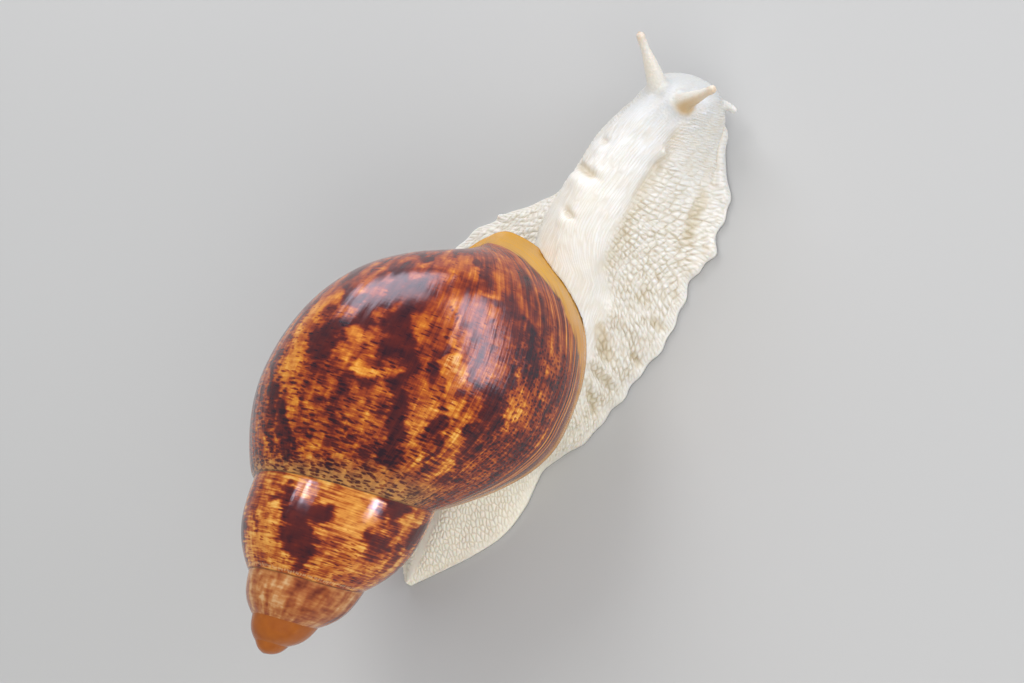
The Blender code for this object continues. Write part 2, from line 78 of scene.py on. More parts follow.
MARGIN_HEIGHT, SOLE_INSET = 1.7, 0.9
STATIONS = (
    (-62.0, -2.2, 1.9, -2.6, -3.0, -3.4, -1.8, -1.5, -1.2, 0.0),
    (-58.5, -1.6, 3.6, -3.6, -5.0, -6.2, 0.0, 0.9, 1.6, 0.0),
    (-54.0, -1.2, 5.8, -4.8, -7.8, -10.0, 1.8, 3.8, 5.0, 0.0),
    (-48.0, -0.8, 8.4, -6.2, -10.6, -13.4, 4.0, 7.2, 9.2, 0.0),
    (-40.0, -0.4, 11.0, -7.4, -12.8, -16.2, 6.4, 11.0, 13.4, 0.0),
    (-31.0, 0.6, 15.0, -7.6, -13.6, -18.6, 8.8, 12.6, 14.6, 0.0),
    (-23.0, 4.2, 22.5, -4.4, -13.0, -22.0, 12.6, 13.6, 13.9, 0.0),
    (-12.0, 6.6, 27.5, -2.6, -13.4, -27.0, 17.4, 18.8, 19.3, 0.0),
    (0.0, 6.0, 28.5, -3.6, -14.0, -33.0, 17.0, 19.8, 21.9, 0.0),
    (10.0, 4.4, 27.0, -6.0, -14.8, -36.2, 15.0, 19.8, 23.4, 0.0),
    (18.0, 3.0, 27.8, -8.0, -14.6, -34.2, 13.4, 19.4, 24.3, 0.0),
    (26.0, 2.2, 29.8, -8.8, -14.0, -28.6, 12.2, 18.6, 23.6, 0.0),
    (34.0, 2.0, 30.0, -9.2, -13.6, -21.2, 11.6, 17.6, 22.9, 0.0),
    (42.0, 2.0, 28.4, -9.4, -13.2, -18.0, 11.0, 16.8, 22.5, 0.0),
    (50.0, 1.9, 26.4, -9.6, -12.6, -15.0, 10.4, 15.8, 21.2, 0.0),
    (57.0, 2.1, 23.8, -8.8, -11.0, -12.2, 10.4, 14.0, 17.6, 0.0),
    (63.0, 2.4, 21.2, -7.7, -9.0, -9.2, 11.0, 12.8, 13.6, 0.0),
    (67.0, 2.6, 19.4, -7.0, -7.8, -6.6, 11.6, 12.2, 11.6, 0.6),
    (70.0, 2.8, 17.6, -6.0, -6.4, -4.4, 11.0, 11.2, 9.6, 2.6),
    (72.4, 3.0, 15.2, -4.0, -4.2, -2.2, 9.3, 9.4, 7.8, 4.6),
    (73.8, 3.2, 12.8, -0.8, -0.8, 0.2, 6.8, 6.8, 6.0, 7.4),
    (74.3, 3.3, 11.4, 1.4, 1.4, 1.9, 4.9, 4.9, 4.6, 8.8),
)
SHOULDER_AT, WAIST_AT = 0.66, 0.30
CROWN_OUT, CROWN_UP = 0.64, 0.62
EDGE_WAVE, WAVE_LENGTH = 0.32, 6.8
EDGE_LOBES = ((53.6, 1.5, 2.6), (40.6, 1.9, 2.4), (33.0, -0.7, 2.4), (18.0, 0.5, 3.0))

UPPER_LEFT = ((64.8, -0.6, 14.0), (69.6, -3.2, 21.6), (74.0, -6.8, 28.2))
UPPER_RIGHT = ((64.6, 1.6, 14.0), (67.0, 8.4, 21.0), (70.4, 14.3, 26.1))
LOWER_LEFT = ((68.4, -1.0, 8.8), (71.2, -3.6, 7.6), (71.4, -7.2, 6.4))
LOWER_RIGHT = ((69.2, 4.6, 8.8), (72.6, 7.6, 7.4), (71.8, 12.0, 6.2))
UPPER_RADII = (3.4, 2.9, 2.4, 1.92, 1.48, 1.10, 1.07)
LOWER_RADII = (1.8, 1.5, 1.24, 1.04, 0.95, 0.92)

# ===================================================== fineness of the meshes
SHELL_COLUMNS = 360  # faces in one turn
SHELL_ROWS, BASE_ROWS = 32, 66
BODY_RINGS, BACK_POINTS = 300, 110
SKIN_VOXEL = 0.215  # mm


def world(p):
    """World metres from (forward, right, up) in millimetres, for an array of points."""
    p = np.asarray(p, float)
    return np.stack([-p[..., 1], -p[..., 0], p[..., 2]], -1) * MM


def knots(table, x):
    """Smooth curve through evenly spaced values, read at x from 0 to n - 1."""
    t = np.asarray(table, float)
    n = len(t)
    x = np.clip(np.asarray(x, float), 0, n - 1)
    i = np.minimum(x.astype(int), n - 2)
    f = x - i
    before = 2 * t[0] - t[1] + (t[0] - 2 * t[1] + t[2]) * 0.5
    e = np.concatenate([[before], t, [2 * t[-1] - t[-2]]])
    m1, m2 = (e[i + 2] - e[i]) / 2, (e[i + 3] - e[i + 1]) / 2
    return (
        (2 * f**3 - 3 * f**2 + 1) * e[i + 1]
        + (f**3 - 2 * f**2 + f) * m1
        + (3 * f**2 - 2 * f**3) * e[i + 2]
        + (f**3 - f**2) * m2
    )


def curve(xs, ys, x):
    """Smooth curve through (xs, ys) with unevenly spaced xs."""
    xs, ys = np.asarray(xs, float), np.asarray(ys, float)
    d = np.diff(ys) / np.diff(xs)
    m = np.concatenate([[d[0]], (d[:-1] + d[1:]) / 2, [d[-1]]])
    m[1:-1] = np.where(d[:-1] * d[1:] <= 0, m[1:-1] * 0.35, m[1:-1])
    i = np.clip(np.searchsorted(xs, x) - 1, 0, len(xs) - 2)
    h = xs[i + 1] - xs[i]
    f = (x - xs[i]) / h
    return (
        (2 * f**3 - 3 * f**2 + 1) * ys[i]
        + (f**3 - 2 * f**2 + f) * h * m[i]
        + (3 * f**2 - 2 * f**3) * ys[i + 1]
        + (f**3 - f**2) * h * m[i + 1]
    )


def smooth(x, low, high):
    """0 below low, 1 above high, an even S between."""
    x = np.clip((np.asarray(x, float) - low) / (high - low), 0, 1)
    return x * x * (3 - 2 * x)


# ====================================================== shell, as in the CAD
def suture(turn):
    x = -2 * np.asarray(turn, float)
    return knots([s[0] for s in SUTURE], x), knots([s[1] for s in SUTURE], x)


def widest(turn):
    x = -2 * turn
    a, r = knots([w[0] for w in WIDEST], x), knots([w[1] for w in WIDEST], x)
    s0, q0 = suture(turn)
    s1, q1 = suture(np.minimum(turn + 1, 0))
    share = (WIDEST[2][0] - SUTURE[2][0]) / (SUTURE[0][0] - SUTURE[2][0])
    rise = WIDEST[2][1] - SUTURE[2][1] - share * (SUTURE[0][1] - SUTURE[2][1])
    rise /= math.hypot(SUTURE[0][0] - SUTURE[2][0], SUTURE[0][1] - SUTURE[2][1])
    early = turn < -1
    return (
        np.where(early, s0 + share * (s1 - s0), a),
        np.where(early, q0 + share * (q1 - q0) + rise * np.hypot(s1 - s0, q1 - q0), r),
    )


def section(turn, t):
    """(axial, radial) of the whorl: t 0 at its suture, 1 where the next whorl covers it, 2 on the axis."""
    turn, t = np.broadcast_arrays(np.asarray(turn, float), np.asarray(t, float))
    a0, r0 = suture(turn)
    am, rm = widest(turn)
    size = WHORL_GROWTH**turn
    front = knots(BASE, -2 * turn)
    rc = COLUMELLA_RADIUS * size
    shoulder = SHOULDER * np.clip(-turn * 2, 0, 1)

    def free(t):
        x = np.clip(t / 0.8, 0, 1)
        y = (1 - shoulder) * np.sin(np.pi / 2 * np.clip(1.06 * x, 0, 1))
        y = y + shoulder * np.sqrt(1 - (1 - x) ** 2)
        an = np.pi / 2 * np.clip(t - 0.8, 0, 1) ** 1.4
        u = np.clip((t - 1.8) / 0.2, 0, 1)
        a = np.where(
            t < 0.8,
            a0 + (am - a0) * x,
            am + (front - am) * np.sin(an) - u**2 * COLUMELLA_DEPTH * size,
        )
        r = np.where(t < 0.8, r0 + (rm - r0) * y, rc + (rm - rc) * np.cos(an) - u * rc)
        return a, r

    a, r = free(t)
    a_one, r_one = free(np.ones_like(t))
    a1, r1 = suture(np.minimum(turn + 1, 0))
    x = np.clip(t, 0, 1)
    bulge = WHORL_BULGE * np.sin(np.pi * x**0.9)
    a_spire = a0 + (a1 - a0) * x - (r1 - r0) * bulge
    r_spire = r0 + (r1 - r0) * x + (a1 - a0) * bulge
    k = np.clip((-0.65 - turn) / 0.35, 0, 1)
    k = k * k * (3 - 2 * k)
    fade = np.where(t < 1, 1.0, np.cos(np.pi / 2 * np.clip(t - 1, 0, 1)) ** 2)
    a = a + k * fade * np.where(t < 1, a_spire - a, a1 - a_one)
    r = r + k * fade * np.where(t < 1, r_spire - r, r1 - r_one)
    flare = LIP_FLARE * np.clip(1 + turn * 7, 0, 1) ** 1.5
    forward = np.clip((t - 0.9) / 0.5, 0, 1)
    forward = forward * forward * (3 - 2 * forward)
    flare = flare * np.sin(np.pi * np.clip(t / 1.9, 0, 1)) ** 0.6 * (1 + 0.5 * forward)
    na, nr = (a - am) / 31, r / 38
    n = np.hypot(na, nr) + 1e-6
    return a + flare * na / n, r + flare * nr / n


YAW, DIP = math.radians(AXIS_YAW), math.radians(AXIS_DIP)
AXIS = np.array([math.sin(YAW) * math.cos(DIP), -math.cos(YAW) * math.cos(DIP), -math.sin(DIP)])
ACROSS = np.array([math.cos(YAW), math.sin(YAW), 0.0])
UPWARD = np.cross(ACROSS, AXIS)
UPWARD = -UPWARD if UPWARD[2] < 0 else UPWARD
TIP = world(APEX)


def on_shell(a, r, turn):
    """World points at axial distance a and radius r on the half-plane of a turn."""
    a, r, turn = np.broadcast_arrays(*(np.asarray(v, float) for v in (a, r, turn)))
    phi = math.radians(LIP_ANGLE) + 2 * math.pi * turn
    return TIP + (
        a[..., None] * AXIS + (r * np.cos(phi))[..., None] * ACROSS + (r * np.sin(phi))[..., None] * UPWARD
    ) * MM


LIP_PHI = math.radians(LIP_ANGLE)
GROWTH = -ACROSS * math.sin(LIP_PHI) + UPWARD * math.cos(LIP_PHI)  # out of the mouth


# ======================================================= body, as in the CAD
def edge_wave(forward, phase):
    spread = np.clip((forward + 30) / 30, 0, 1) * np.clip((62 - forward) / 10, 0, 1)
    return EDGE_WAVE * spread * (
        np.sin(2 * np.pi * forward / WAVE_LENGTH + phase)
        + 0.6 * np.sin(2 * np.pi * forward / (WAVE_LENGTH * 1.73) + 2.1 * phase)
    )


def body_section(forward):
    """One closed section, and the signed arc length of each back point from the ridge."""
    xs = [s[0] for s in STATIONS]
    ridge, height, l1, l2, l3, r1, r2, r3, under = (
        float(curve(xs, [s[k] for s in STATIONS], forward)) for k in range(1, 10)
    )
    l3 -= float(edge_wave(forward, 2.2))
    r3 += float(edge_wave(forward, 0.4))
    r3 += sum(out * math.exp(-(((forward - at) / wide) ** 2)) for at, out, wide in EDGE_LOBES)
    edge = under + min(MARGIN_HEIGHT, (height - under) * 0.35)
    rise = height - under
    crown = SHOULDER_AT + (1 - SHOULDER_AT) * CROWN_UP
    pts = np.array([
        (l3, edge), (l2, under + rise * WAIST_AT), (l1, under + rise * SHOULDER_AT),
        (ridge + (l1 - ridge) * CROWN_OUT, under + rise * crown), (ridge, height),
        (ridge + (r1 - ridge) * CROWN_OUT, under + rise * crown),
        (r1, under + rise * SHOULDER_AT), (r2, under + rise * WAIST_AT), (r3, edge),
    ])
    run = np.concatenate([[0], np.cumsum(np.hypot(*np.diff(pts, axis=0).T) ** 0.5)])
    fine = np.linspace(0, run[-1], 4 * BACK_POINTS)
    line = np.stack([curve(run, pts[:, k], fine) for k in (0, 1)], 1)
    length = np.concatenate([[0], np.cumsum(np.hypot(*np.diff(line, axis=0).T))])
    even = np.linspace(0, length[-1], BACK_POINTS)
    back = np.stack([np.interp(even, length, line[:, k]) for k in (0, 1)], 1)
    at = even - np.interp(run[4], fine, length)
    inset = min(SOLE_INSET, (r3 - l3) * 0.15)
    sole = [(r3 - inset * 0.25, under + (edge - under) * 0.35), (r3 - inset, under)]
    sole += [(l3 + inset + (r3 - l3 - 2 * inset) * k, under) for k in np.linspace(1, 0, 22)[1:]]
    sole += [(l3 + inset * 0.25, under + (edge - under) * 0.35)]
    points = np.array([(forward, s, z) for s, z in list(map(tuple, back)) + sole])
    return points, at


# ============================================================== mesh helpers
def new_object(name, points, faces):
    """Mesh object from world points and a list or array of faces."""
    mesh = bpy.data.meshes.new(name)
    mesh.from_pydata([tuple(p) for p in points], [], [tuple(int(i) for i in f) for f in faces])
    mesh.validate(verbose=False)
    obj = bpy.data.objects.new(name, mesh)
    bpy.context.scene.collection.objects.link(obj)
    return obj


def outward(obj):
    bm = bmesh.new()
    bm.from_mesh(obj.data)
    bmesh.ops.recalc_face_normals(bm, faces=bm.faces)
    if bm.calc_volume(signed=True) < 0:
        bmesh.ops.reverse_faces(bm, faces=bm.faces)
    bm.to_mesh(obj.data)
    bm.free()
    return obj


def settled(obj, keep=True):
    """The object with its modifiers applied."""
    bpy.context.view_layer.update()
    graph = bpy.context.evaluated_depsgraph_get()
    done = bpy.data.meshes.new_from_object(obj.evaluated_get(graph))
    obj.modifiers.clear()
    old, obj.data = obj.data, done
    bpy.data.meshes.remove(old)
    return obj


def drop(*objs):
    for o in objs:
        mesh = o.data
        bpy.data.objects.remove(o, do_unlink=True)
        if mesh is not None and mesh.users == 0:
            bpy.data.meshes.remove(mesh)


def points_of(mesh):
    co = np.empty(len(mesh.vertices) * 3, np.float32)
    mesh.vertices.foreach_get("co", co)
    return co.reshape(-1, 3).astype(float)


def normals_of(mesh):
    no = np.empty(len(mesh.vertices) * 3, np.float32)
    mesh.vertex_normals.foreach_get("vector", no)
    return no.reshape(-1, 3).astype(float)


def set_points(mesh, co):
    mesh.vertices.foreach_set("co", np.asarray(co, np.float32).ravel())
    mesh.update()


def attribute(mesh, name, values, domain="POINT"):
    values = np.asarray(values, np.float32)
    kind, field = ("FLOAT_VECTOR", "vector") if values.ndim == 2 else ("FLOAT", "value")
    layer = mesh.attributes.get(name) or mesh.attributes.new(name, kind, domain)
    layer.data.foreach_set(field, values.ravel())


def loft(name, loops):
    """Closed tube through loops of equal length, capped at both ends."""
    n = len(loops[0])
    points = np.concatenate(loops)
    faces = []
    for k in range(len(loops) - 1):
        for i in range(n):
            j = (i + 1) % n
            faces.append((k * n + i, k * n + j, (k + 1) * n + j, (k + 1) * n + i))
    faces.append(tuple(range(n)))
    faces.append(tuple((len(loops) - 1) * n + i for i in range(n)))
    return outward(new_object(name, points, faces))


# ===================================================================== shell
SPIRE_T = np.linspace(0, 1, SHELL_ROWS)
BASE_T = np.concatenate([
    np.linspace(1, 1.8, BASE_ROWS - 12)[1:], np.linspace(1.8, 2.0, 13)[1:]
])


def growth_relief(along, across):
    """Low swellings that follow the growth lines, mm, stronger towards the lip."""
    bend = along + 0.5 * np.sin(across / 9.0) + 0.3 * np.sin(across / 4.1 + 1.0)
    wave = 0.5 * np.sin(bend / 1.13) + 0.9 * np.sin(bend / 0.47 + 1.3)
    wave = wave * (0.6 + 0.4 * np.sin(bend / 3.9)) + 0.7 * np.sin(bend / 2.3 + 0.4)
    near_lip = smooth(along, -26, -3)
    return wave * (0.026 + 0.045 * near_lip)


def shell_surface(columns, spire_t, base_t, relief):
    """Points, quads and triangles of the spiral, with (growth mm, across mm, turn) for every face corner.

    Growth is measured along the widest line back from the lip, across along each growth line from its suture.
    """
    total = int(TURNS * columns)
    first = total - columns
    turn = -(total - np.arange(total + 1)) / columns
    n, m = len(spire_t), len(base_t)
    t_all = np.concatenate([spire_t, base_t])
    a, r = section(turn[:, None], t_all[None, :])
    r[:, -1] = 0.0
    am, rm = widest(turn)
    along = np.concatenate([[0], np.cumsum((rm[1:] + rm[:-1]) * math.pi * np.diff(turn))])
    along -= along[-1]
    plain = on_shell(a, r, turn[:, None])
    step = np.linalg.norm(np.diff(plain, axis=1), axis=2) / MM
    across = np.concatenate([np.zeros((total + 1, 1)), np.cumsum(step, 1)], 1)
    out_a, out_r = (a - am[:, None]) / 31, r / 38
    length = np.hypot(out_a, out_r) + 1e-6
    lift = growth_relief(along[:, None], across) * relief
    fade = smooth(across, 0.0, 1.2) * smooth(t_all, 0, 0.02) * (1 - smooth(t_all, 1.7, 1.9))[None, :]
    whole = smooth(across[:, n - 1 : n] - across, 0.0, 1.2)
    fade[:first] *= whole[:first]
    lift = lift * fade * smooth(rm, 3, 9)[:, None]
    spots = on_shell(a + lift * out_a / length, r + lift * out_r / length, turn[:, None])
    ids = np.full((total + 1, n + m), -1, int)
    points = [TIP]
    for i in range(total + 1):
        ids[i, 0] = ids[i - columns, n - 1] if i >= columns else 0
        if i == 0:
            ids[0, :n] = 0
        else:
            ids[i, 1:n] = len(points) + np.arange(n - 1)
            points.extend(spots[i, 1:n])
        if i >= first:
            ids[i, n:] = len(points) + np.arange(m)
            points.extend(spots[i, n:])
    faces, corners = [], []
    info = np.stack(np.broadcast_arrays(along[:, None], across, turn[:, None]), -1)
    for i in range(total):
        last = n + m - 1 if i >= first else n - 1
        for j in range(last):
            ring = ((i, j), (i, j + 1), (i + 1, j + 1), (i + 1, j))
            face, data = [], []
            for k in ring:
                v = ids[k]
                if v not in face:
                    face.append(v)
                    data.append(info[k])
            if len(face) > 2:
                faces.append(face)
                corners.extend(data)
    lip = [(total, j) for j in range(n + m)]
    axis = [(i, n + m - 1) for i in range(total - 1, first - 1, -1)]
    wall = [(first, j) for j in range(n + m - 2, n - 1, -1)]
    mouth = lip + axis + wall
    flat = np.array([(a[k], r[k]) for k in mouth])
    return points, faces, corners, [int(ids[k]) for k in mouth], flat, len(lip)


def outline_of(flat, inset, count=240, rounds=150):
    """The mouth's outline, evened, rounded and drawn in. Returns a reader by share of its length."""
    closed = np.vstack([flat, flat[:1]])
    run = np.concatenate([[0], np.cumsum(np.hypot(*np.diff(closed, axis=0).T))])
    at = np.linspace(0, run[-1], count + 1)[:-1]
    even = np.stack([np.interp(at, run, closed[:, k]) for k in (0, 1)], 1)
    for _ in range(rounds):
        even = 0.5 * even + 0.25 * (np.roll(even, 1, 0) + np.roll(even, -1, 0))
    tangent = np.roll(even, -1, 0) - np.roll(even, 1, 0)
    tangent /= np.hypot(*tangent.T)[:, None]
    normal = np.stack([-tangent[:, 1], tangent[:, 0]], 1)
    area = np.sum(even[:, 0] * np.roll(even[:, 1], -1) - even[:, 1] * np.roll(even[:, 0], -1))
    drawn = even + normal * (inset if area > 0 else -inset)
    return drawn, run / run[-1]


def at_share(drawn, share):
    n = len(drawn)
    x = (np.asarray(share) % 1.0) * n
    i = x.astype(int) % n
    f = (x - np.floor(x))[:, None]
    return drawn[i] * (1 - f) + drawn[(i + 1) % n] * f


def make_shell():
    points, faces, corners, mouth, flat, lip_count = shell_surface(SHELL_COLUMNS, SPIRE_T, BASE_T, 1.0)
    share = outline_of(flat, 0.0)[1][:-1]
    on_lip = np.zeros(len(mouth))
    k = np.arange(lip_count) / (lip_count - 1)
    on_lip[:lip_count] = smooth(k, 0.0, 0.10) * (1 - smooth(k, 0.80, 0.95))
    rings = [(0.30, 0.22, 1.0), (0.75, 0.36, 1.0), (1.15, 0.28, 1.0), (1.45, 0.0, 1.0), (1.62, -0.6, 1.0),
             (1.7, -1.5, 0.97), (1.7, -3.2, 0.88), (1.7, -5.0, 0.74)]
    middle = outline_of(flat, SHELL_WALL)[0].mean(axis=0)
    points = [np.asarray(p) for p in points]
    before = list(mouth)
    for inset, out, scale in rings:
        drawn = at_share(outline_of(flat, inset)[0], share)
        drawn = middle + (drawn - middle) * scale
        push = np.where(out > 0, out * on_lip - 0.15 * (1 - on_lip), out)
        spots = on_shell(drawn[:, 0], drawn[:, 1], 0.0) + GROWTH * (push * MM)[:, None]
        now = list(range(len(points), len(points) + len(mouth)))
        points.extend(spots)
        n = len(mouth)
        for i in range(n):
            j = (i + 1) % n
            faces.append([before[i], before[j], now[j], now[i]])
            corners.extend([(2.0 + inset, 30.0, 0.0)] * 4)
        before = now
    faces.append(list(reversed(before)))
    corners.extend([(4.0, 30.0, 0.0)] * len(before))
    mesh = bpy.data.meshes.new("snail_shell")
    mesh.from_pydata([tuple(q) for q in points], [], faces)
    attribute(mesh, "grow", np.array(corners, float), "CORNER")
    obj = bpy.data.objects.new("snail_shell", mesh)
    bpy.context.scene.collection.objects.link(obj)
    outward(obj)
    obj.data.shade_smooth()
    return obj, flat


def mouth_plug(name, flat, rings, voxel, count=240):
    """Loft through drawn-in copies of the mouth. Each ring is (inset, out of the mouth, scale)."""
    middle = outline_of(flat, SHELL_WALL)[0].mean(axis=0)
    loops = []
    for inset, out, scale in rings:
        drawn = at_share(outline_of(flat, inset)[0], np.arange(count) / count)
        drawn = middle + (drawn - middle) * scale
        loops.append(on_shell(drawn[:, 0], drawn[:, 1], 0.0) + GROWTH * (out * MM))
    obj = loft(name, loops)
    mod = obj.modifiers.new("even", "REMESH")
    mod.mode, mod.voxel_size, mod.adaptivity = "VOXEL", voxel * MM, 0.0
    settled(obj)
    largest_only(obj)
    set_points(obj.data, relax(points_of(obj.data), edges_of(obj.data), 4, 0.5))
    return obj


def plain_shell(name, grown):
    """A coarser closed shell, its surface moved outward by grown mm, to cut the flesh with."""
    t = np.linspace(0, 1, 15)
    b = np.concatenate([np.linspace(1, 1.8, 18)[1:], np.linspace(1.8, 2.0, 5)[1:]])
    points, faces, _, mouth, _, _ = shell_surface(110, t, b, 0.0)
    obj = new_object(name, points, faces + [mouth])
    bm = bmesh.new()
    bm.from_mesh(obj.data)
    bmesh.ops.triangulate(bm, faces=bm.faces, ngon_method="EAR_CLIP")
    bm.to_mesh(obj.data)
    bm.free()
    outward(obj)
    co, no = points_of(obj.data), normals_of(obj.data)
    set_points(obj.data, co + no * grown * MM)
    return obj


# ====================================================================== skin
def feeler_line(points, count=48):
    p = np.array(points, float)
    u = np.linspace(0, 1, count)[:, None]
    return (1 - u) ** 2 * p[0] + 2 * u * (1 - u) * p[1] + u * u * p[2]


def feeler(name, points, radii, sides=28, rings=60):
    """Tapered feeler with a rounded knob, and a flared root sunk in the head."""
    p = np.array(points, float)
    loops = []
    for k in range(rings):
        u = k / (rings - 1)
        b = (1 - u) ** 2 * p[0] + 2 * u * (1 - u) * p[1] + u * u * p[2]
        d = 2 * (1 - u) * (p[1] - p[0]) + 2 * u * (p[2] - p[1])
        d /= np.linalg.norm(d)
        side = np.cross(d, (0.0, 0.0, 1.0))
        side /= np.linalg.norm(side)
        up = np.cross(side, d)
        radius = float(knots(radii, u * (len(radii) - 1)))
        w = np.linspace(0, 2 * np.pi, sides + 1)[:-1, None]
        loops.append(b + radius * (side * np.cos(w) + up * np.sin(w)))
    for turn in np.linspace(0, np.pi / 2, 9)[1:-1]:
        ring = b + d * radius * np.sin(turn) * 1.05 + radius * np.cos(turn) * (side * np.cos(w) + up * np.sin(w))
        loops.append(ring)
    return loft(name, [world(q) for q in loops]), b + d * radius * 0.95, d


def lobe(name, centre, size, tilt=0.0):
    """Soft egg shape: centre and half sizes as (forward, right, up)."""
    loops = []
    for v in np.linspace(0, np.pi, 18)[1:-1]:
        w = np.linspace(0, 2 * np.pi, 25)[:-1]
        f = centre[0] + size[0] * np.sin(v) * np.cos(w)
        s = centre[1] + size[1] * np.sin(v) * np.sin(w)
        h = centre[2] + size[2] * np.cos(v) + 0 * w
        loops.append(world(np.stack([f, s + tilt * (h - centre[2]), h], 1)))
    return loft(name, loops)


def joined(name, objs):
    points, faces, base = [], [], 0
    for o in objs:
        points.append(points_of(o.data))
        faces.extend([tuple(base + v for v in f.vertices) for f in o.data.polygons])
        base += len(o.data.vertices)
    made = new_object(name, np.concatenate(points), faces)
    drop(*objs)
    return made


def relax(co, edges, rounds, amount, weight=None, keep_volume=True):
    """Even out vertices towards their neighbours."""
    n = len(co)
    count = np.bincount(edges.ravel(), minlength=n).astype(float)[:, None]
    count[count == 0] = 1
    w = 1.0 if weight is None else weight[:, None]
    for _ in range(rounds):
        for share in ((amount, -amount * 1.05) if keep_volume else (amount,)):
            total = np.zeros_like(co)
            for k in range(3):
                total[:, k] = np.bincount(edges[:, 0], co[edges[:, 1], k], n)
                total[:, k] += np.bincount(edges[:, 1], co[edges[:, 0], k], n)
            co = co + (total / count - co) * share * w
    return co


def edges_of(mesh):
    e = np.empty(len(mesh.edges) * 2, np.int32)
    mesh.edges.foreach_get("vertices", e)
    return e.reshape(-1, 2)


def near(X, line):
    """Distance of points to a line of (forward, right, up) points, and the share of the line at the nearest place."""
    line = np.array(line, float)
    best = np.full(len(X), 1e9)
    share = np.zeros(len(X))
    for k in range(len(line) - 1):
        a, b = line[k], line[k + 1]
        d = b - a
        t = np.clip(((X - a) @ d) / (d @ d), 0, 1)
        dist = np.linalg.norm(X - (a + t[:, None] * d), axis=1)
        closer = dist < best
        best = np.where(closer, dist, best)
        share = np.where(closer, (k + t) / (len(line) - 1), share)
    return best, share


def dent(X, line, depth, width, ends=0.25):
    """Soft valley (or ridge, for a negative depth) along a line, fading at both ends."""
    dist, share = near(X, line)
    fade = smooth(share, 0, ends) * smooth(1 - share, 0, ends) if ends else 1.0
    return -depth * np.exp(-((dist / width) ** 2)) * (0.15 + 0.85 * fade)


def spot(X, centre, height, width):
    return height * np.exp(-np.sum(((X - np.array(centre)) / width) ** 2, axis=1))


def lumps(X, size, seed):
    """Soft even noise from crossed waves, about -1 to 1."""
    rng = np.random.default_rng(seed)
    total = np.zeros(len(X))
    for _ in range(14):
        d = rng.normal(size=3)
        d /= np.linalg.norm(d)
        k = 2 * np.pi / (size * rng.uniform(0.7, 1.6))
        total += np.sin(X @ d * k + rng.uniform(0, 2 * np.pi))
    return total / 4.0


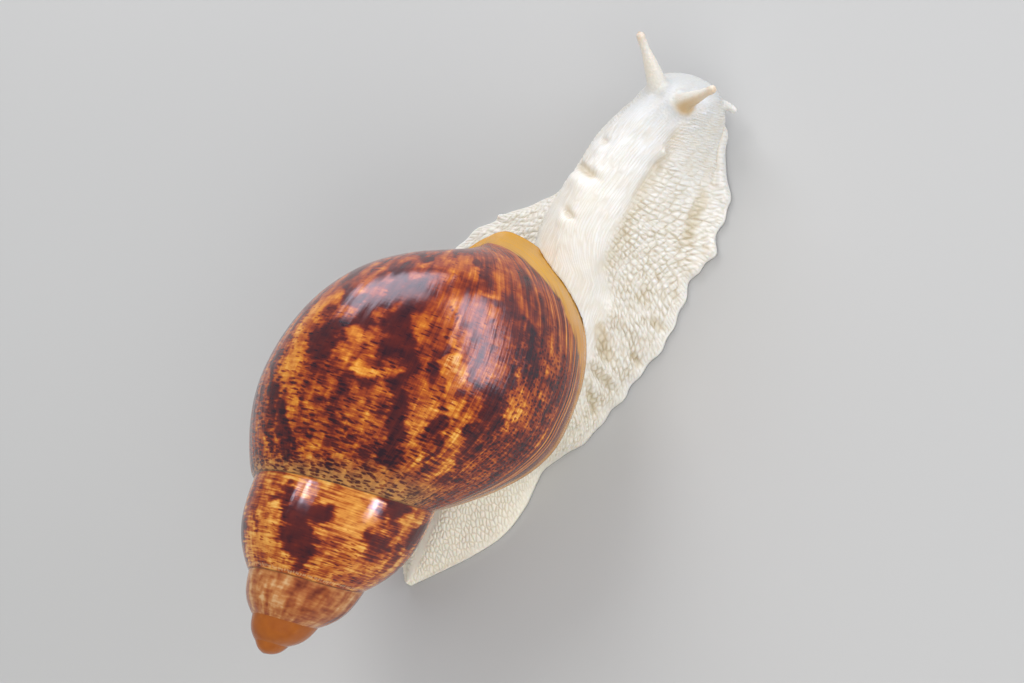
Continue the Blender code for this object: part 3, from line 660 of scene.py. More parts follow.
FOLDS = (
    # creases across the top of the neck and the swellings behind them
    ([(43.2, -8.2, 19.0), (42.5, -6.6, 22.0), (41.6, -2.0, 27.0), (41.0, 2.6, 28.4)], 1.15, 0.85, 0.3),
    ([(39.4, -7.4, 21.5), (38.4, -3.0, 27.0), (37.6, 2.0, 29.0)], -0.75, 1.9, 0.35),
    ([(32.0, -3.0, 29.4), (31.0, 0.2, 30.3), (30.4, 3.2, 30.4)], 0.95, 0.8, 0.3),
    ([(28.9, -2.6, 29.9), (28.2, 1.8, 31.0)], -0.45, 1.6, 0.3),
    ([(50.3, -5.6, 22.3), (49.6, -2.4, 25.2)], 0.45, 0.9, 0.3),
    ([(47.6, -5.6, 23.0), (47.0, -1.5, 26.4)], -0.3, 1.8, 0.3),
    # valley between the neck and the side of the foot, right
    ([(20.8, 11.0, 24.2), (25.6, 11.6, 21.6), (38.7, 10.0, 21.7), (44.5, 9.6, 20.8), (53.7, 9.3, 18.7), (58.0, 8.8, 18.4), (65.6, 9.4, 16.2)], 0.55, 1.9, 0.2),
    ([(40.0, 9.9, 21.5), (44.5, 9.6, 20.8), (49.8, 9.4, 19.5), (52.6, 9.3, 18.9)], 0.8, 1.25, 0.3),
    # valley under the neck, left
    ([(16.0, -14.2, 14.0), (24.0, -13.4, 12.8), (32.0, -12.9, 11.8), (42.0, -12.6, 9.5), (52.0, -11.8, 8.0)], 0.7, 1.7, 0.2),
    # folds that run out from under the shell
    ([(27.5, 18.4, 9.2), (21.3, 17.3, 12.3)], 0.35, 1.8, 0.3),
    ([(17.4, 14.4, 19.0), (16.9, 17.6, 12.4), (15.5, 22.5, 4.9)], -0.75, 1.8, 0.25),
    ([(13.4, 15.4, 18.6), (12.2, 16.2, 16.4), (10.1, 17.0, 14.6), (8.2, 18.2, 12.6), (6.8, 19.8, 8.6)], 1.45, 1.5, 0.25),
    ([(6.2, 16.6, 17.6), (4.8, 19.0, 10.6), (3.2, 21.2, 4.6)], -0.95, 1.2, 0.25),
    ([(3.6, 17.4, 16.0), (2.6, 19.6, 9.4), (1.4, 21.0, 4.8)], 0.7, 0.9, 0.25),
    ([(2.0, 17.6, 16.2), (0.9, 18.7, 12.4), (-1.2, 20.7, 5.0)], -0.8, 1.2, 0.25),
    ([(-0.6, 18.4, 14.0), (-3.4, 19.8, 8.5), (-5.2, 20.6, 4.6)], 1.1, 1.0, 0.25),
    ([(-7.4, 18.3, 15.5), (-8.7, 19.5, 8.4), (-10.6, 19.8, 5.0)], -0.6, 1.6, 0.25),
    ([(20.4, 20.4, 7.4), (19.3, 24.0, 2.2)], 0.8, 0.9, 0.3),
    ([(11.6, 20.4, 7.4), (9.4, 23.2, 2.2)], 0.8, 0.9, 0.3),
    ([(27.6, 20.2, 6.0), (26.4, 22.6, 2.4)], 0.4, 0.9, 0.3),
    # hollow and rolled edge, right
    ([(54.8, 15.4, 6.4), (47.4, 17.3, 6.8), (41.6, 18.3, 6.9), (37.2, 18.2, 7.4)], 0.9, 1.5, 0.3),
    ([(43.4, 22.6, 2.6), (40.2, 23.2, 2.8), (36.8, 22.4, 2.9), (33.0, 21.0, 3.0)], -0.75, 1.5, 0.3),
    ([(55.6, 18.4, 2.8), (51.0, 20.0, 2.9)], -0.45, 1.3, 0.3),
    ([(58.6, 14.4, 5.0), (53.0, 17.4, 4.4)], 0.4, 1.1, 0.3),
    # between the head and the front of the foot
    ([(54.0, -12.6, 4.8), (60.0, -10.4, 4.8), (65.5, -7.6, 4.6), (69.4, -3.6, 3.9), (71.2, 3.0, 3.6), (69.9, 8.6, 3.9), (67.0, 12.4, 4.6), (61.0, 14.8, 4.6), (55.0, 17.0, 4.4)], 0.75, 0.75, 0.18),
    ([(62.0, -10.0, 1.6), (66.5, -6.6, 1.6), (69.0, -1.6, 1.7), (69.8, 3.0, 1.7), (69.2, 7.6, 1.7), (66.8, 11.8, 1.6), (62.0, 14.2, 1.6)], -0.8, 1.3, 0.2),
    # mouth slit
    ([(73.6, 3.3, 9.2), (73.6, 3.3, 7.0), (72.6, 3.3, 5.0)], 0.9, 0.5, 0.15),
    ([(73.2, 1.6, 8.4), (73.7, 3.3, 8.8), (73.2, 5.0, 8.4)], 0.45, 0.4, 0.2),
)


def snapped(tree, line):
    """The line, finer, with each point moved to the nearest place on the surface."""
    line = np.array(line, float)
    at = np.linspace(0, len(line) - 1, 6 * (len(line) - 1) + 1)
    fine = np.stack([np.interp(at, np.arange(len(line)), line[:, k]) for k in range(3)], 1)
    found = np.array([tree.find_nearest(Vector(p))[0] for p in world(fine)]) / MM
    return np.stack([-found[:, 1], -found[:, 0], found[:, 2]], 1)


def make_skin(flat):
    # the loft, kept whole as the map of places, and a copy that the shell and collar cut
    steps = np.linspace(0, 1, BODY_RINGS)
    ease = 1 - (1 - steps) ** 1.15
    span = STATIONS[-1][0] - STATIONS[0][0]
    forward = STATIONS[0][0] + span * ease
    rings, arcs = zip(*(body_section(f) for f in forward))
    rings, arcs = np.array(rings), np.array(arcs)
    count = rings.shape[1]
    whole = loft("body_loft", [world(r) for r in rings])
    quads = []
    for k in range(BODY_RINGS - 1):
        for i in range(count):
            j = (i + 1) % count
            quads.append((k * count + i, k * count + j, (k + 1) * count + j, (k + 1) * count + i))
    tree = BVHTree.FromPolygons([tuple(p) for p in world(rings).reshape(-1, 3)], quads)
    shell_cut = plain_shell("shell_cut", 0.03)
    collar_cut = mouth_plug("collar_cut", flat, COLLAR_SPACE, 0.5)
    for cutter in (shell_cut, collar_cut):
        mod = whole.modifiers.new("cut", "BOOLEAN")
        mod.operation, mod.object, mod.solver = "DIFFERENCE", cutter, "EXACT"
    settled(whole)
    drop(shell_cut, collar_cut)
    largest_only(whole)
    parts = [whole]
    tips = []
    for name, line, radii in (
        ("upper_left", UPPER_LEFT, UPPER_RADII), ("upper_right", UPPER_RIGHT, UPPER_RADII),
        ("lower_left", LOWER_LEFT, LOWER_RADII), ("lower_right", LOWER_RIGHT, LOWER_RADII),
    ):
        made, tip, direction = feeler(name, line, radii)
        parts.append(made)
        tips.append((tip, direction))
    # swollen roots of the upper feelers, and the lobes beside the mouth
    parts.append(lobe("root_left", (66.3, -1.6, 16.6), (3.9, 3.6, 3.2)))
    parts.append(lobe("root_right", (64.7, 5.6, 16.6), (3.5, 3.4, 3.2)))
    parts.append(lobe("palp_left", (72.2, 0.9, 6.7), (1.9, 2.3, 2.5), 0.15))
    parts.append(lobe("palp_right", (72.2, 5.7, 6.7), (1.9, 2.3, 2.5), -0.15))
    skin = joined("snail_skin", parts)
    mod = skin.modifiers.new("even", "REMESH")
    mod.mode, mod.voxel_size, mod.adaptivity = "VOXEL", SKIN_VOXEL * MM, 0.0
    settled(skin)
    largest_only(skin)
    mesh = skin.data
    edges = edges_of(mesh)
    co = relax(points_of(mesh), edges, 3, 0.6)

    # where each vertex lies: ring, arc length from the ridge, distance to the edge of the foot
    X = np.stack([-co[:, 1], -co[:, 0], co[:, 2]], 1) / MM
    nearest = np.empty(len(co), int)
    away = np.empty(len(co))
    for i, p in enumerate(co):
        _, _, face, dist = tree.find_nearest(p)
        nearest[i], away[i] = face, dist
    away /= MM
    ring, col = nearest // count, nearest % count
    back = col < BACK_POINTS - 1
    c0 = np.clip(col, 0, BACK_POINTS - 2)
    f0, f1 = forward[ring], forward[ring + 1]
    w = np.clip((X[:, 0] - f0) / (f1 - f0), 0, 1)[:, None]
    A = rings[ring, c0] * (1 - w) + rings[ring + 1, c0] * w
    B = rings[ring, c0 + 1] * (1 - w) + rings[ring + 1, c0 + 1] * w
    t = np.clip(np.sum((X - A) * (B - A), 1) / (np.sum((B - A) ** 2, 1) + 1e-9), 0, 1)
    w = w[:, 0]
    arc = (arcs[ring, c0] * (1 - t) + arcs[ring, c0 + 1] * t) * (1 - w)
    arc += (arcs[ring + 1, c0] * (1 - t) + arcs[ring + 1, c0 + 1] * t) * w
    left_end = arcs[ring, 0] * (1 - w) + arcs[ring + 1, 0] * w
    right_end = arcs[ring, -1] * (1 - w) + arcs[ring + 1, -1] * w
    middle_col = (BACK_POINTS + count) / 2
    arc = np.where(back, arc, np.where(col > middle_col, left_end, right_end))
    right = arc > 0
    to_edge = np.where(right, right_end - arc, arc - left_end)
    sole = ~back | (X[:, 2] < 0.25)

    # feelers: how far a vertex belongs to one, and its place along and round it
    on_feeler = np.zeros(len(X))
    along_feeler = np.zeros(len(X))
    round_feeler = np.zeros(len(X))
    for line, radii in ((UPPER_LEFT, UPPER_RADII), (UPPER_RIGHT, UPPER_RADII), (LOWER_LEFT, LOWER_RADII), (LOWER_RIGHT, LOWER_RADII)):
        pts = feeler_line(line, 24)
        dist, share = near(X, pts)
        radius = knots(radii, share * (len(radii) - 1))
        length = np.linalg.norm(np.diff(pts, axis=0), axis=1).sum()
        belong = (1 - smooth(dist - radius, 0.1, 1.0)) * smooth(share, 0.12, 0.35)
        more = belong > on_feeler
        on_feeler = np.maximum(on_feeler, belong)
        along_feeler = np.where(more, share * length, along_feeler)
        side = X - np.array(line[1])
        round_feeler = np.where(more, np.arctan2(side[:, 1], side[:, 0]) * 1.5, round_feeler)

    # soften the joins
    join = np.zeros(len(X))
    for centre, size in (((66.0, -2.1, 17.4), 6.2), ((65.0, 6.2, 17.6), 5.6), ((70.9, -2.9, 7.8), 2.6), ((71.4, 7.0, 7.8), 2.6), ((72.3, 3.3, 7.0), 4.2)):
        join = np.maximum(join, 1 - smooth(np.linalg.norm(X - np.array(centre), axis=1), size * 0.55, size))
    co = relax(co, edges, 60, 0.5, join * 0.9, keep_volume=False)
    co = relax(co, edges, 6, 0.5)
    set_points(mesh, co)
    no = normals_of(mesh)
    X = np.stack([-co[:, 1], -co[:, 0], co[:, 2]], 1) / MM

    # how near the shell and collar a vertex is: detail fades there
    seat = smooth(away, 0.35, 0.9) * (1 - on_feeler) * (X[:, 0] < 60)
    f, absarc = X[:, 0], np.abs(arc)

    lift = np.zeros(len(X))
    # fold_shade: how deep each place lies in a fold, kept only to paint shade into the folds
    fold_shade = np.zeros(len(X))
    for line, depth, width, ends in FOLDS:
        d = dent(X, snapped(tree, line), depth, width, ends)
        lift += d
        fold_shade = np.maximum(fold_shade, -d)
    lift += spot(X, (53.8, 8.4, 19.6), 1.15, 1.25) + spot(X, (51.3, 9.0, 19.2), -0.6, 1.0)
    # small lobe of the left edge
    lift += spot(X, (24.8, -29.6, 1.4), 1.1, 1.0)
    # smooth swelling of the right edge, below the lower end of the lip
    smooth_lobe = spot(X, (-10.4, 16.6, 3.6), 1.0, np.array((3.4, 2.6, 3.2)))
    lift += 0.9 * smooth_lobe
    free = (1 - seat) * (1 - on_feeler)
    lift += 0.20 * lumps(X, 11.0, 3) * free * smooth(to_edge, 0, 6) * (1 - 0.6 * smooth(f, 58, 66))
    lift += 0.07 * lumps(X, 4.0, 5) * free
    lift *= np.where(sole, 0.0, 1.0) * (1 - seat)
    co = co + no * (lift * MM)[:, None]
    co = relax(co, edges, 2, 0.5)

    # fine pattern: coordinates in cells, and how strong each pattern is
    g = np.clip(32 - f, 0, 12)
    sweep = g * g / 24
    border = 10.2 + np.minimum(sweep, 6.0)
    border_left = 11.5
    edge_of_neck = np.where(right, border, border_left)
    flank = smooth(absarc - edge_of_neck, -1.8, 3.6)
    tail = 1 - smooth(f, -26, -14)
    head = smooth(f, 57, 63)
    sizes = [1.0, 1.15, 1.2, 1.1, 0.9]
    cell_f = curve([-62, 0, 25, 50, 75], sizes, f)
    fine_f = np.linspace(-64, 78, 400)
    total_f = np.concatenate([[0], np.cumsum(np.diff(fine_f) / curve([-62, 0, 25, 50, 75], sizes, fine_f[1:]))])
    cell_l = curve([-62, 0, 25, 50, 75], [1.4, 1.5, 1.5, 2.3, 2.0], f)
    slant = np.tan(np.radians(curve([-62, 0, 20, 35, 45, 55, 65, 75], [24, 32, 24, 6, -9, -16, -18, -22], f)))
    side_shift = np.where(right, 0.0, 60.0)
    cells = np.stack([
        np.interp(f, fine_f, total_f) + slant * (absarc - 10) / cell_f,
        absarc / cell_l + side_shift,
        0 * f,
    ], 1)
    turn = math.radians(56)
    rows = np.stack([
        (f * math.cos(turn) + absarc * math.sin(turn)) / 0.92,
        (-f * math.sin(turn) + absarc * math.cos(turn)) / 1.55 + side_shift,
        0 * f,
    ], 1)
    lines = np.stack([f / 9.0, (arc - np.where(right, sweep, 0)) / 0.66, 0 * f], 1)
    # behind the right feelers the lines run across
    low_neck = smooth(f, 52, 57) * smooth(np.abs(arc), 6, 9) * (1 - smooth(to_edge, 3, 1))
    across_lines = np.stack([(f - 0.30 * absarc) / 0.70, absarc / 4.0 + side_shift, 0 * f], 1)
    ring_lines = np.stack([along_feeler / 0.42, round_feeler / 1.2, 0 * f], 1)
    ribs = np.stack([(f - slant * to_edge) / 0.95 + side_shift, to_edge / 4.0, 0 * f], 1)
    margin = 1 - smooth(to_edge, 0.8, 3.4)

    hide = (1 - seat) * np.where(sole, 0.0, 1.0)
    calm = 1 - 0.35 * smooth(f, 36, 54)
    strong_cells = flank * (1 - tail) * (1 - margin) * (1 - head * 0.75) * (1 - on_feeler) * calm * np.where(right, 1.0, 0.8) * (1 - 0.9 * smooth_lobe)
    strong_rows = tail * smooth(absarc, 0.3, 1.8) * (1 - 0.6 * margin)
    strong_lines = (1 - flank) * (1 - tail) * (1 - head * 0.7) * (1 - on_feeler)
    strong_ribs = margin * smooth(to_edge, 0.1, 0.9) * (1 - 0.5 * tail) * (1 - on_feeler) * (1 - 0.4 * head)
    strong_across = low_neck * (1 - margin) * (1 - on_feeler) + 0.0 * f
    attribute(mesh, "cells", cells)
    attribute(mesh, "rows", rows)
    attribute(mesh, "lines", np.where((on_feeler > 0.5)[:, None], ring_lines, lines))
    attribute(mesh, "ribs", ribs)
    attribute(mesh, "across", across_lines)
    attribute(mesh, "strong_a", np.stack([strong_cells * hide * (1 - 0.5 * low_neck), strong_rows * hide, (strong_lines + 0.22 * on_feeler) * hide], 1))
    attribute(mesh, "strong_b", np.stack([strong_ribs * hide, strong_across * hide, (head + 0.25 * on_feeler) * hide], 1))
    knob = np.zeros(len(X))
    for tip, _ in tips[:2]:
        knob = np.maximum(knob, 1 - smooth(np.linalg.norm(X - tip, axis=1), 1.2, 3.2))
    # painted shade: the right feeler darkened to tan on its rear and under side, the sides facing away from the light
    pts = feeler_line(UPPER_RIGHT, 24)
    dist, share = near(X, pts)
    by_feeler = 1 - smooth(dist - knots(UPPER_RADII, share * (len(UPPER_RADII) - 1)), 0.2, 1.6)
    no = normals_of(mesh)
    facing = np.stack([-no[:, 1], -no[:, 0], no[:, 2]], 1) @ np.array((-0.80, 0.50, -0.33))
    under = by_feeler * smooth(facing, -0.45, 0.55) * (1 - 0.5 * smooth(share, 0.45, 0.95))
    # tone: x is painted shade in the folds, y the tail's own yellower colour, z the feeler knobs' own tan
    tone = np.stack([
        np.clip(fold_shade / 0.8, 0, 1),
        tail + 0.5 * smooth(-f, -5, 12) * (1 - tail),
        knob,
    ], 1)
    attribute(mesh, "tone", tone)
    attribute(mesh, "tone_b", np.stack([on_feeler * smooth(X[:, 2], 17.5, 22), smooth(f, 36, 68), flank], 1))
    attribute(mesh, "feeler_underside_shade", np.stack([under, 0 * f, 0 * f], 1))
    co[:, 2] = np.where(sole & (co[:, 2] < 0.45 * MM), 0.0, np.maximum(co[:, 2], 0.0))
    set_points(mesh, co)
    mesh.shade_smooth()
    return skin, tips


def largest_only(obj):
    """Drop crumbs beside the main body."""
    bm = bmesh.new()
    bm.from_mesh(obj.data)
    bmesh.ops.remove_doubles(bm, verts=bm.verts, dist=1e-7)
    bm.verts.index_update()
    seen = [False] * len(bm.verts)
    bm.verts.ensure_lookup_table()
    groups = []
    for v in bm.verts:
        if seen[v.index]:
            continue
        seen[v.index] = True
        stack, group = [v], []
        while stack:
            x = stack.pop()
            group.append(x)
            for e in x.link_edges:
                y = e.other_vert(x)
                if not seen[y.index]:
                    seen[y.index] = True
                    stack.append(y)
        groups.append(group)
    groups.sort(key=len)
    for group in groups[:-1]:
        bmesh.ops.delete(bm, geom=group, context="VERTS")
    bm.to_mesh(obj.data)
    bm.free()
    return obj


COLLAR_RINGS = (
    (2.0, -4.5, 0.70), (2.0, -3.2, 0.84), (2.0, -1.8, 0.95), (2.0, -0.8, 0.975), (2.0, 0.2, 0.98), (2.1, 1.0, 0.965),
    (2.3, 1.7, 0.93), (2.6, 2.15, 0.88), (3.0, 2.4, 0.80), (3.4, 2.45, 0.66), (3.4, 2.5, 0.45), (3.4, 2.5, 0.2),
)
COLLAR_SPACE = (
    (1.8, -4.8, 0.70), (1.8, -1.8, 0.96), (1.85, 0.2, 1.0), (2.0, 1.75, 0.955), (2.6, 2.5, 0.87), (3.2, 2.65, 0.7), (3.4, 2.65, 0.3),
)


# =================================================================== node nets
class Net:
    """Short ways to write a node tree, the same for materials and Geometry Nodes."""

    def __init__(self, tree, geometry=False):
        self.tree, self.geometry = tree, geometry

    def node(self, kind, **settings):
        n = self.tree.nodes.new(kind)
        for key, value in settings.items():
            setattr(n, key, value)
        return n

    def put(self, socket, value):
        if isinstance(value, bpy.types.NodeSocket):
            self.tree.links.new(value, socket)
        elif value is not None:
            socket.default_value = value

    def math(self, op, a, b=None, c=None, clamp=False):
        n = self.node("ShaderNodeMath", operation=op, use_clamp=clamp)
        for k, v in enumerate((a, b, c)):
            if v is not None:
                self.put(n.inputs[k], v)
        return n.outputs[0]

    def add(self, *terms):
        total = terms[0]
        for t in terms[1:]:
            total = self.math("ADD", total, t)
        return total

    def mul(self, *terms):
        total = terms[0]
        for t in terms[1:]:
            total = self.math("MULTIPLY", total, t)
        return total

    def sub(self, a, b):
        return self.math("SUBTRACT", a, b)

    def step(self, x, low, high, out_low=0.0, out_high=1.0):
        """Smooth step of x from low to high."""
        n = self.node("ShaderNodeMapRange", interpolation_type="SMOOTHSTEP")
        self.put(n.inputs["Value"], x)
        self.put(n.inputs["From Min"], low)
        self.put(n.inputs["From Max"], high)
        self.put(n.inputs["To Min"], out_low)
        self.put(n.inputs["To Max"], out_high)
        return n.outputs[0]

    def vec(self, name):
        if self.geometry:
            n = self.node("GeometryNodeInputNamedAttribute", data_type="FLOAT_VECTOR")
            n.inputs["Name"].default_value = name
            return n.outputs["Attribute"]
        return self.node("ShaderNodeAttribute", attribute_name=name).outputs["Vector"]

    def parts(self, vector):
        n = self.node("ShaderNodeSeparateXYZ")
        self.put(n.inputs[0], vector)
        return n.outputs[0], n.outputs[1], n.outputs[2]

    def join(self, x, y, z=0.0):
        n = self.node("ShaderNodeCombineXYZ")
        for socket, value in zip(n.inputs, (x, y, z)):
            self.put(socket, value)
        return n.outputs[0]

    def place(self):
        """Object position in millimetres."""
        if self.geometry:
            spot = self.node("GeometryNodeInputPosition").outputs[0]
        else:
            spot = self.node("ShaderNodeTexCoord").outputs["Object"]
        return self.scaled(spot, 1000.0)

    def scaled(self, vector, by):
        n = self.node("ShaderNodeVectorMath", operation="SCALE")
        self.put(n.inputs[0], vector)
        self.put(n.inputs["Scale"], by)
        return n.outputs["Vector"]

    def shifted(self, a, b):
        n = self.node("ShaderNodeVectorMath", operation="ADD")
        self.put(n.inputs[0], a)
        self.put(n.inputs[1], b)
        return n.outputs["Vector"]

    def noise(self, vector, scale=1.0, detail=2.0, rough=0.5, distort=0.0, dims="3D"):
        n = self.node("ShaderNodeTexNoise", noise_dimensions=dims)
        self.put(n.inputs["Vector"], vector)
        self.put(n.inputs["Scale"], scale)
        self.put(n.inputs["Detail"], detail)
        self.put(n.inputs["Roughness"], rough)
        self.put(n.inputs["Distortion"], distort)
        return n.outputs[0]

    def cells(self, vector, scale=1.0, feature="DISTANCE_TO_EDGE", random=0.85, dims="3D"):
        n = self.node("ShaderNodeTexVoronoi", feature=feature, voronoi_dimensions=dims)
        self.put(n.inputs["Vector"], vector)
        self.put(n.inputs["Scale"], scale)
        self.put(n.inputs["Randomness"], random)
        return n

    def mix(self, factor, a, b, mode="MIX"):
        n = self.node("ShaderNodeMix", data_type="RGBA", blend_type=mode)
        self.put(n.inputs[0], factor)
        colours = [s for s in n.inputs if s.type == "RGBA"]
        self.put(colours[0], a if isinstance(a, bpy.types.NodeSocket) else (*a, 1.0))
        self.put(colours[1], b if isinstance(b, bpy.types.NodeSocket) else (*b, 1.0))
        return [s for s in n.outputs if s.type == "RGBA"][0]

    def ramp(self, x, stops):
        n = self.node("ShaderNodeValToRGB")
        self.put(n.inputs[0], x)
        ramp = n.color_ramp
        while len(ramp.elements) < len(stops):
            ramp.elements.new(0.5)
        for e, (at, colour) in zip(ramp.elements, stops):
            e.position, e.color = at, (*colour, 1.0)
        return n.outputs["Color"]

    def bump(self, height_mm, strength, distance=1.0, normal=None):
        n = self.node("ShaderNodeBump")
        self.put(n.inputs["Strength"], strength)
        self.put(n.inputs["Distance"], distance * MM)
        self.put(n.inputs["Height"], height_mm)
        if normal is not None:
            self.put(n.inputs["Normal"], normal)
        return n.outputs[0]


def new_material(name):
    mat = bpy.data.materials.new(name)
    mat.use_nodes = True
    tree = mat.node_tree
    tree.nodes.clear()
    net = Net(tree)
    out = net.node("ShaderNodeOutputMaterial")
    shader = net.node("ShaderNodeBsdfPrincipled")
    tree.links.new(shader.outputs[0], out.inputs["Surface"])
    return mat, net, shader


# ================================================================ shell finish
# markings: growth along the lip's path and distance from the suture, mm, for
# two places, then half width and strength; the patch runs between the two places
DARK_MARKS = (
    ((-65.9, 51.6), (-61.0, 45.4), 2.0, 1.0), ((-58.6, 49.0), (-57.4, 44.2), 2.0, 0.85), ((-58.6, 40.9), (-56.1, 34.0), 2.5, 1.0),
    ((-53.7, 35.1), (-51.2, 27.5), 1.6, 0.95), ((-52.4, 28.2), (-48.7, 19.1), 1.6, 1.0), ((-49.9, 19.0), (-44.8, 9.8), 1.6, 0.95),
    ((-64.7, 40.3), (-65.9, 35.3), 2.6, 1.0), ((-74.1, 41.7), (-69.4, 40.6), 1.8, 0.8), ((-67.1, 35.2), (-71.8, 29.5), 2.8, 1.0),
    ((-75.3, 30.6), (-71.8, 26.6), 1.8, 0.75), ((-86.7, 25.4), (-79.9, 13.9), 1.4, 0.9), ((-77.6, 13.2), (-73.0, 5.2), 1.7, 0.9),
    ((-62.3, 23.3), (-58.6, 23.6), 1.4, 0.65), ((-67.1, 17.1), (-63.5, 16.5), 1.5, 0.7), ((-59.8, 15.8), (-57.4, 13.2), 0.9, 0.75),
    ((-56.1, 10.4), (-53.7, 9.5), 0.9, 0.6), ((-41.0, 22.3), (-38.4, 19.7), 0.8, 0.75), ((-38.4, 18.8), (-35.8, 13.1), 0.7, 0.85),
    ((-47.4, 30.3), (-46.1, 32.4), 1.7, 0.5), ((-43.6, 44.7), (-38.4, 37.8), 1.2, 0.5), ((-33.1, 30.7), (-29.2, 27.6), 2.7, 1.0),
    ((-30.5, 23.0), (-29.2, 19.4), 1.7, 0.75), ((-27.8, 48.9), (-23.8, 38.0), 1.3, 0.95), ((-64.0, 60.5), (-61.0, 57.5), 1.4, 0.85),
    ((-39.7, 51.8), (-35.8, 51.4), 1.3, 0.6), ((-46.1, 62.6), (-41.0, 57.0), 1.1, 0.6), ((-38.4, 46.1), (-35.8, 40.1), 0.8, 0.6),
    ((-48.7, 46.7), (-44.8, 38.6), 0.5, 0.7), ((-54.9, 20.5), (-52.4, 16.2), 0.8, 0.45), ((-68.3, 15.3), (-65.9, 11.0), 1.0, 0.4),
    ((-39.7, 34.6), (-37.1, 32.0), 1.5, 0.6), ((-33.1, 41.8), (-29.2, 35.6), 0.9, 0.55), ((-48.7, 8.7), (-49.9, 5.6), 0.9, 0.6),
    ((-30.5, 17.4), (-25.1, 10.4), 0.9, 0.7), ((-31.8, 50.9), (-26.5, 49.1), 0.9, 0.55), ((-77.6, 52.9), (-74.1, 55.8), 1.2, 0.5),
    ((-20.5, 44), (-16, 33), 0.8, 0.6), ((-22, 27), (-18, 18), 1.0, 0.5),
    # the side away from the mouth
    ((-90, 36), (-92, 30), 2.0, 0.6), ((-98, 30), (-92, 14), 2.2, 0.75), ((-108, 26), (-104, 12), 3.5, 0.8),
    ((-122, 28), (-119, 14), 4.0, 0.8), ((-141, 24), (-136, 10), 3.4, 0.8), ((-160, 20), (-156, 8), 4.2, 0.8),
    ((-176, 18), (-173, 8), 3.0, 0.6), ((-100, 52), (-94, 44), 3.0, 0.8), ((-120, 50), (-112, 40), 3.2, 0.7),
    ((-140, 46), (-132, 38), 3.0, 0.7), ((-160, 40), (-154, 32), 3.0, 0.7), ((-84, 56), (-80, 50), 2.2, 0.7),
    # whorl before the last
    ((-214.1, 14.6), (-207.1, 15.5), 2.2, 1.1), ((-211.7, 11.4), (-207.9, 6.5), 3.1, 1.2), ((-216.4, 18.4), (-220.2, 16.5), 1.2, 0.7),
    ((-192.1, 23.2), (-192.1, 20.7), 2.2, 0.9), ((-194.5, 14.2), (-189.0, 12.0), 2.0, 0.75), ((-181.8, 16.8), (-180.2, 20.4), 2.6, 0.95),
    ((-186.6, 14.4), (-184.2, 9.7), 1.8, 0.6), ((-196.9, 20.6), (-194.5, 18.3), 1.3, 0.6), ((-224.7, 13.0), (-223.2, 9.4), 0.9, 0.5),
    ((-236, 12), (-232, 8), 4.0, 0.8), ((-262, 7), (-256, 5), 3.2, 0.8), ((-276, 8), (-272, 4), 3.0, 0.7), ((-290, 6), (-288, 4), 3.0, 0.6),
)
PALE_MARKS = (
    ((-77.6, 39.9), (-82.2, 35.1), 2.5, 1.05), ((-79.9, 29.5), (-77.6, 23.0), 2.6, 1.05), ((-75.3, 19.1), (-73.0, 14.2), 1.7, 0.9),
    ((-67.1, 33.0), (-62.3, 33.4), 1.6, 0.95), ((-61.0, 26.7), (-53.7, 27.3), 1.3, 1.0), ((-47.4, 47.6), (-44.8, 37.9), 0.8, 1.0),
    ((-43.6, 34.2), (-39.7, 27.6), 1.5, 1.3), ((-39.7, 25.0), (-35.8, 25.3), 1.3, 0.95), ((-35.8, 20.8), (-33.1, 20.1), 1.6, 0.95),
    ((-31.8, 15.3), (-30.5, 11.3), 1.3, 0.85), ((-46.1, 21.0), (-43.6, 21.2), 1.4, 0.75), ((-29.2, 40.1), (-27.8, 35.7), 0.9, 0.85),
    ((-26.5, 33.0), (-25.1, 29.7), 1.2, 0.95), ((-42.3, 52.4), (-38.4, 53.7), 1.1, 0.8), ((-56.1, 54.4), (-52.4, 54.8), 1.3, 0.6),
    ((-64.7, 56.9), (-59.8, 54.8), 1.1, 0.5), ((-71.8, 38.9), (-68.3, 38.5), 1.2, 0.6), ((-68.3, 7.2), (-67.1, 4.4), 1.2, 0.75),
    ((-82.2, 5.0), (-80.0, 2.0), 2.2, 0.7), ((-34.5, 46.4), (-33.1, 44.2), 0.8, 0.6), ((-53.7, 5.5), (-51.2, 5.6), 1.3, 0.6),
    ((-44.8, 16.6), (-41.0, 14.9), 1.0, 0.65), ((-52.4, 44.6), (-48.7, 38.9), 0.8, 0.4), ((-46.1, 26.2), (-42.3, 23.1), 0.7, 0.5),
    ((-49.9, 14.5), (-49.9, 11.6), 0.9, 0.45), ((-21.1, 42.6), (-16.9, 34.7), 1.0, 0.6), ((-61.0, 8.3), (-58.6, 6.4), 0.9, 0.5),
    ((-68.3, 27.7), (-67.1, 24.6), 1.3, 0.4),
    ((-86, 30), (-85, 16), 1.3, 0.5), ((-102, 26), (-99, 12), 1.6, 0.6), ((-114, 26), (-111, 12), 2.4, 0.6),
    ((-130, 24), (-127, 12), 2.6, 0.6), ((-150, 22), (-147, 10), 2.8, 0.6), ((-168, 18), (-165, 8), 2.6, 0.6),
    ((-92, 48), (-88, 42), 1.8, 0.6), ((-110, 48), (-106, 42), 2.0, 0.6), ((-128, 46), (-124, 40), 2.0, 0.6), ((-148, 40), (-144, 34), 2.0, 0.6),
    # whorl before the last
    ((-220.2, 8.4), (-216.4, 2.4), 2.6, 0.95), ((-204.0, 19.7), (-197.7, 17.0), 2.6, 0.90), ((-202.4, 14.5), (-198.5, 11.8), 2.0, 0.80),
    ((-192.1, 18.4), (-187.4, 20.3), 1.6, 0.55), ((-203.2, 6.0), (-205.5, 4.2), 1.3, 0.75), ((-223.2, 12.6), (-220.9, 11.6), 1.4, 0.5),
    ((-191.3, 8.5), (-192.1, 5.5), 1.2, 0.5), ((-246, 10), (-242, 6), 3.2, 0.8), ((-268, 7), (-265, 4), 2.6, 0.7), ((-283, 6), (-280, 3), 2.4, 0.6),
)


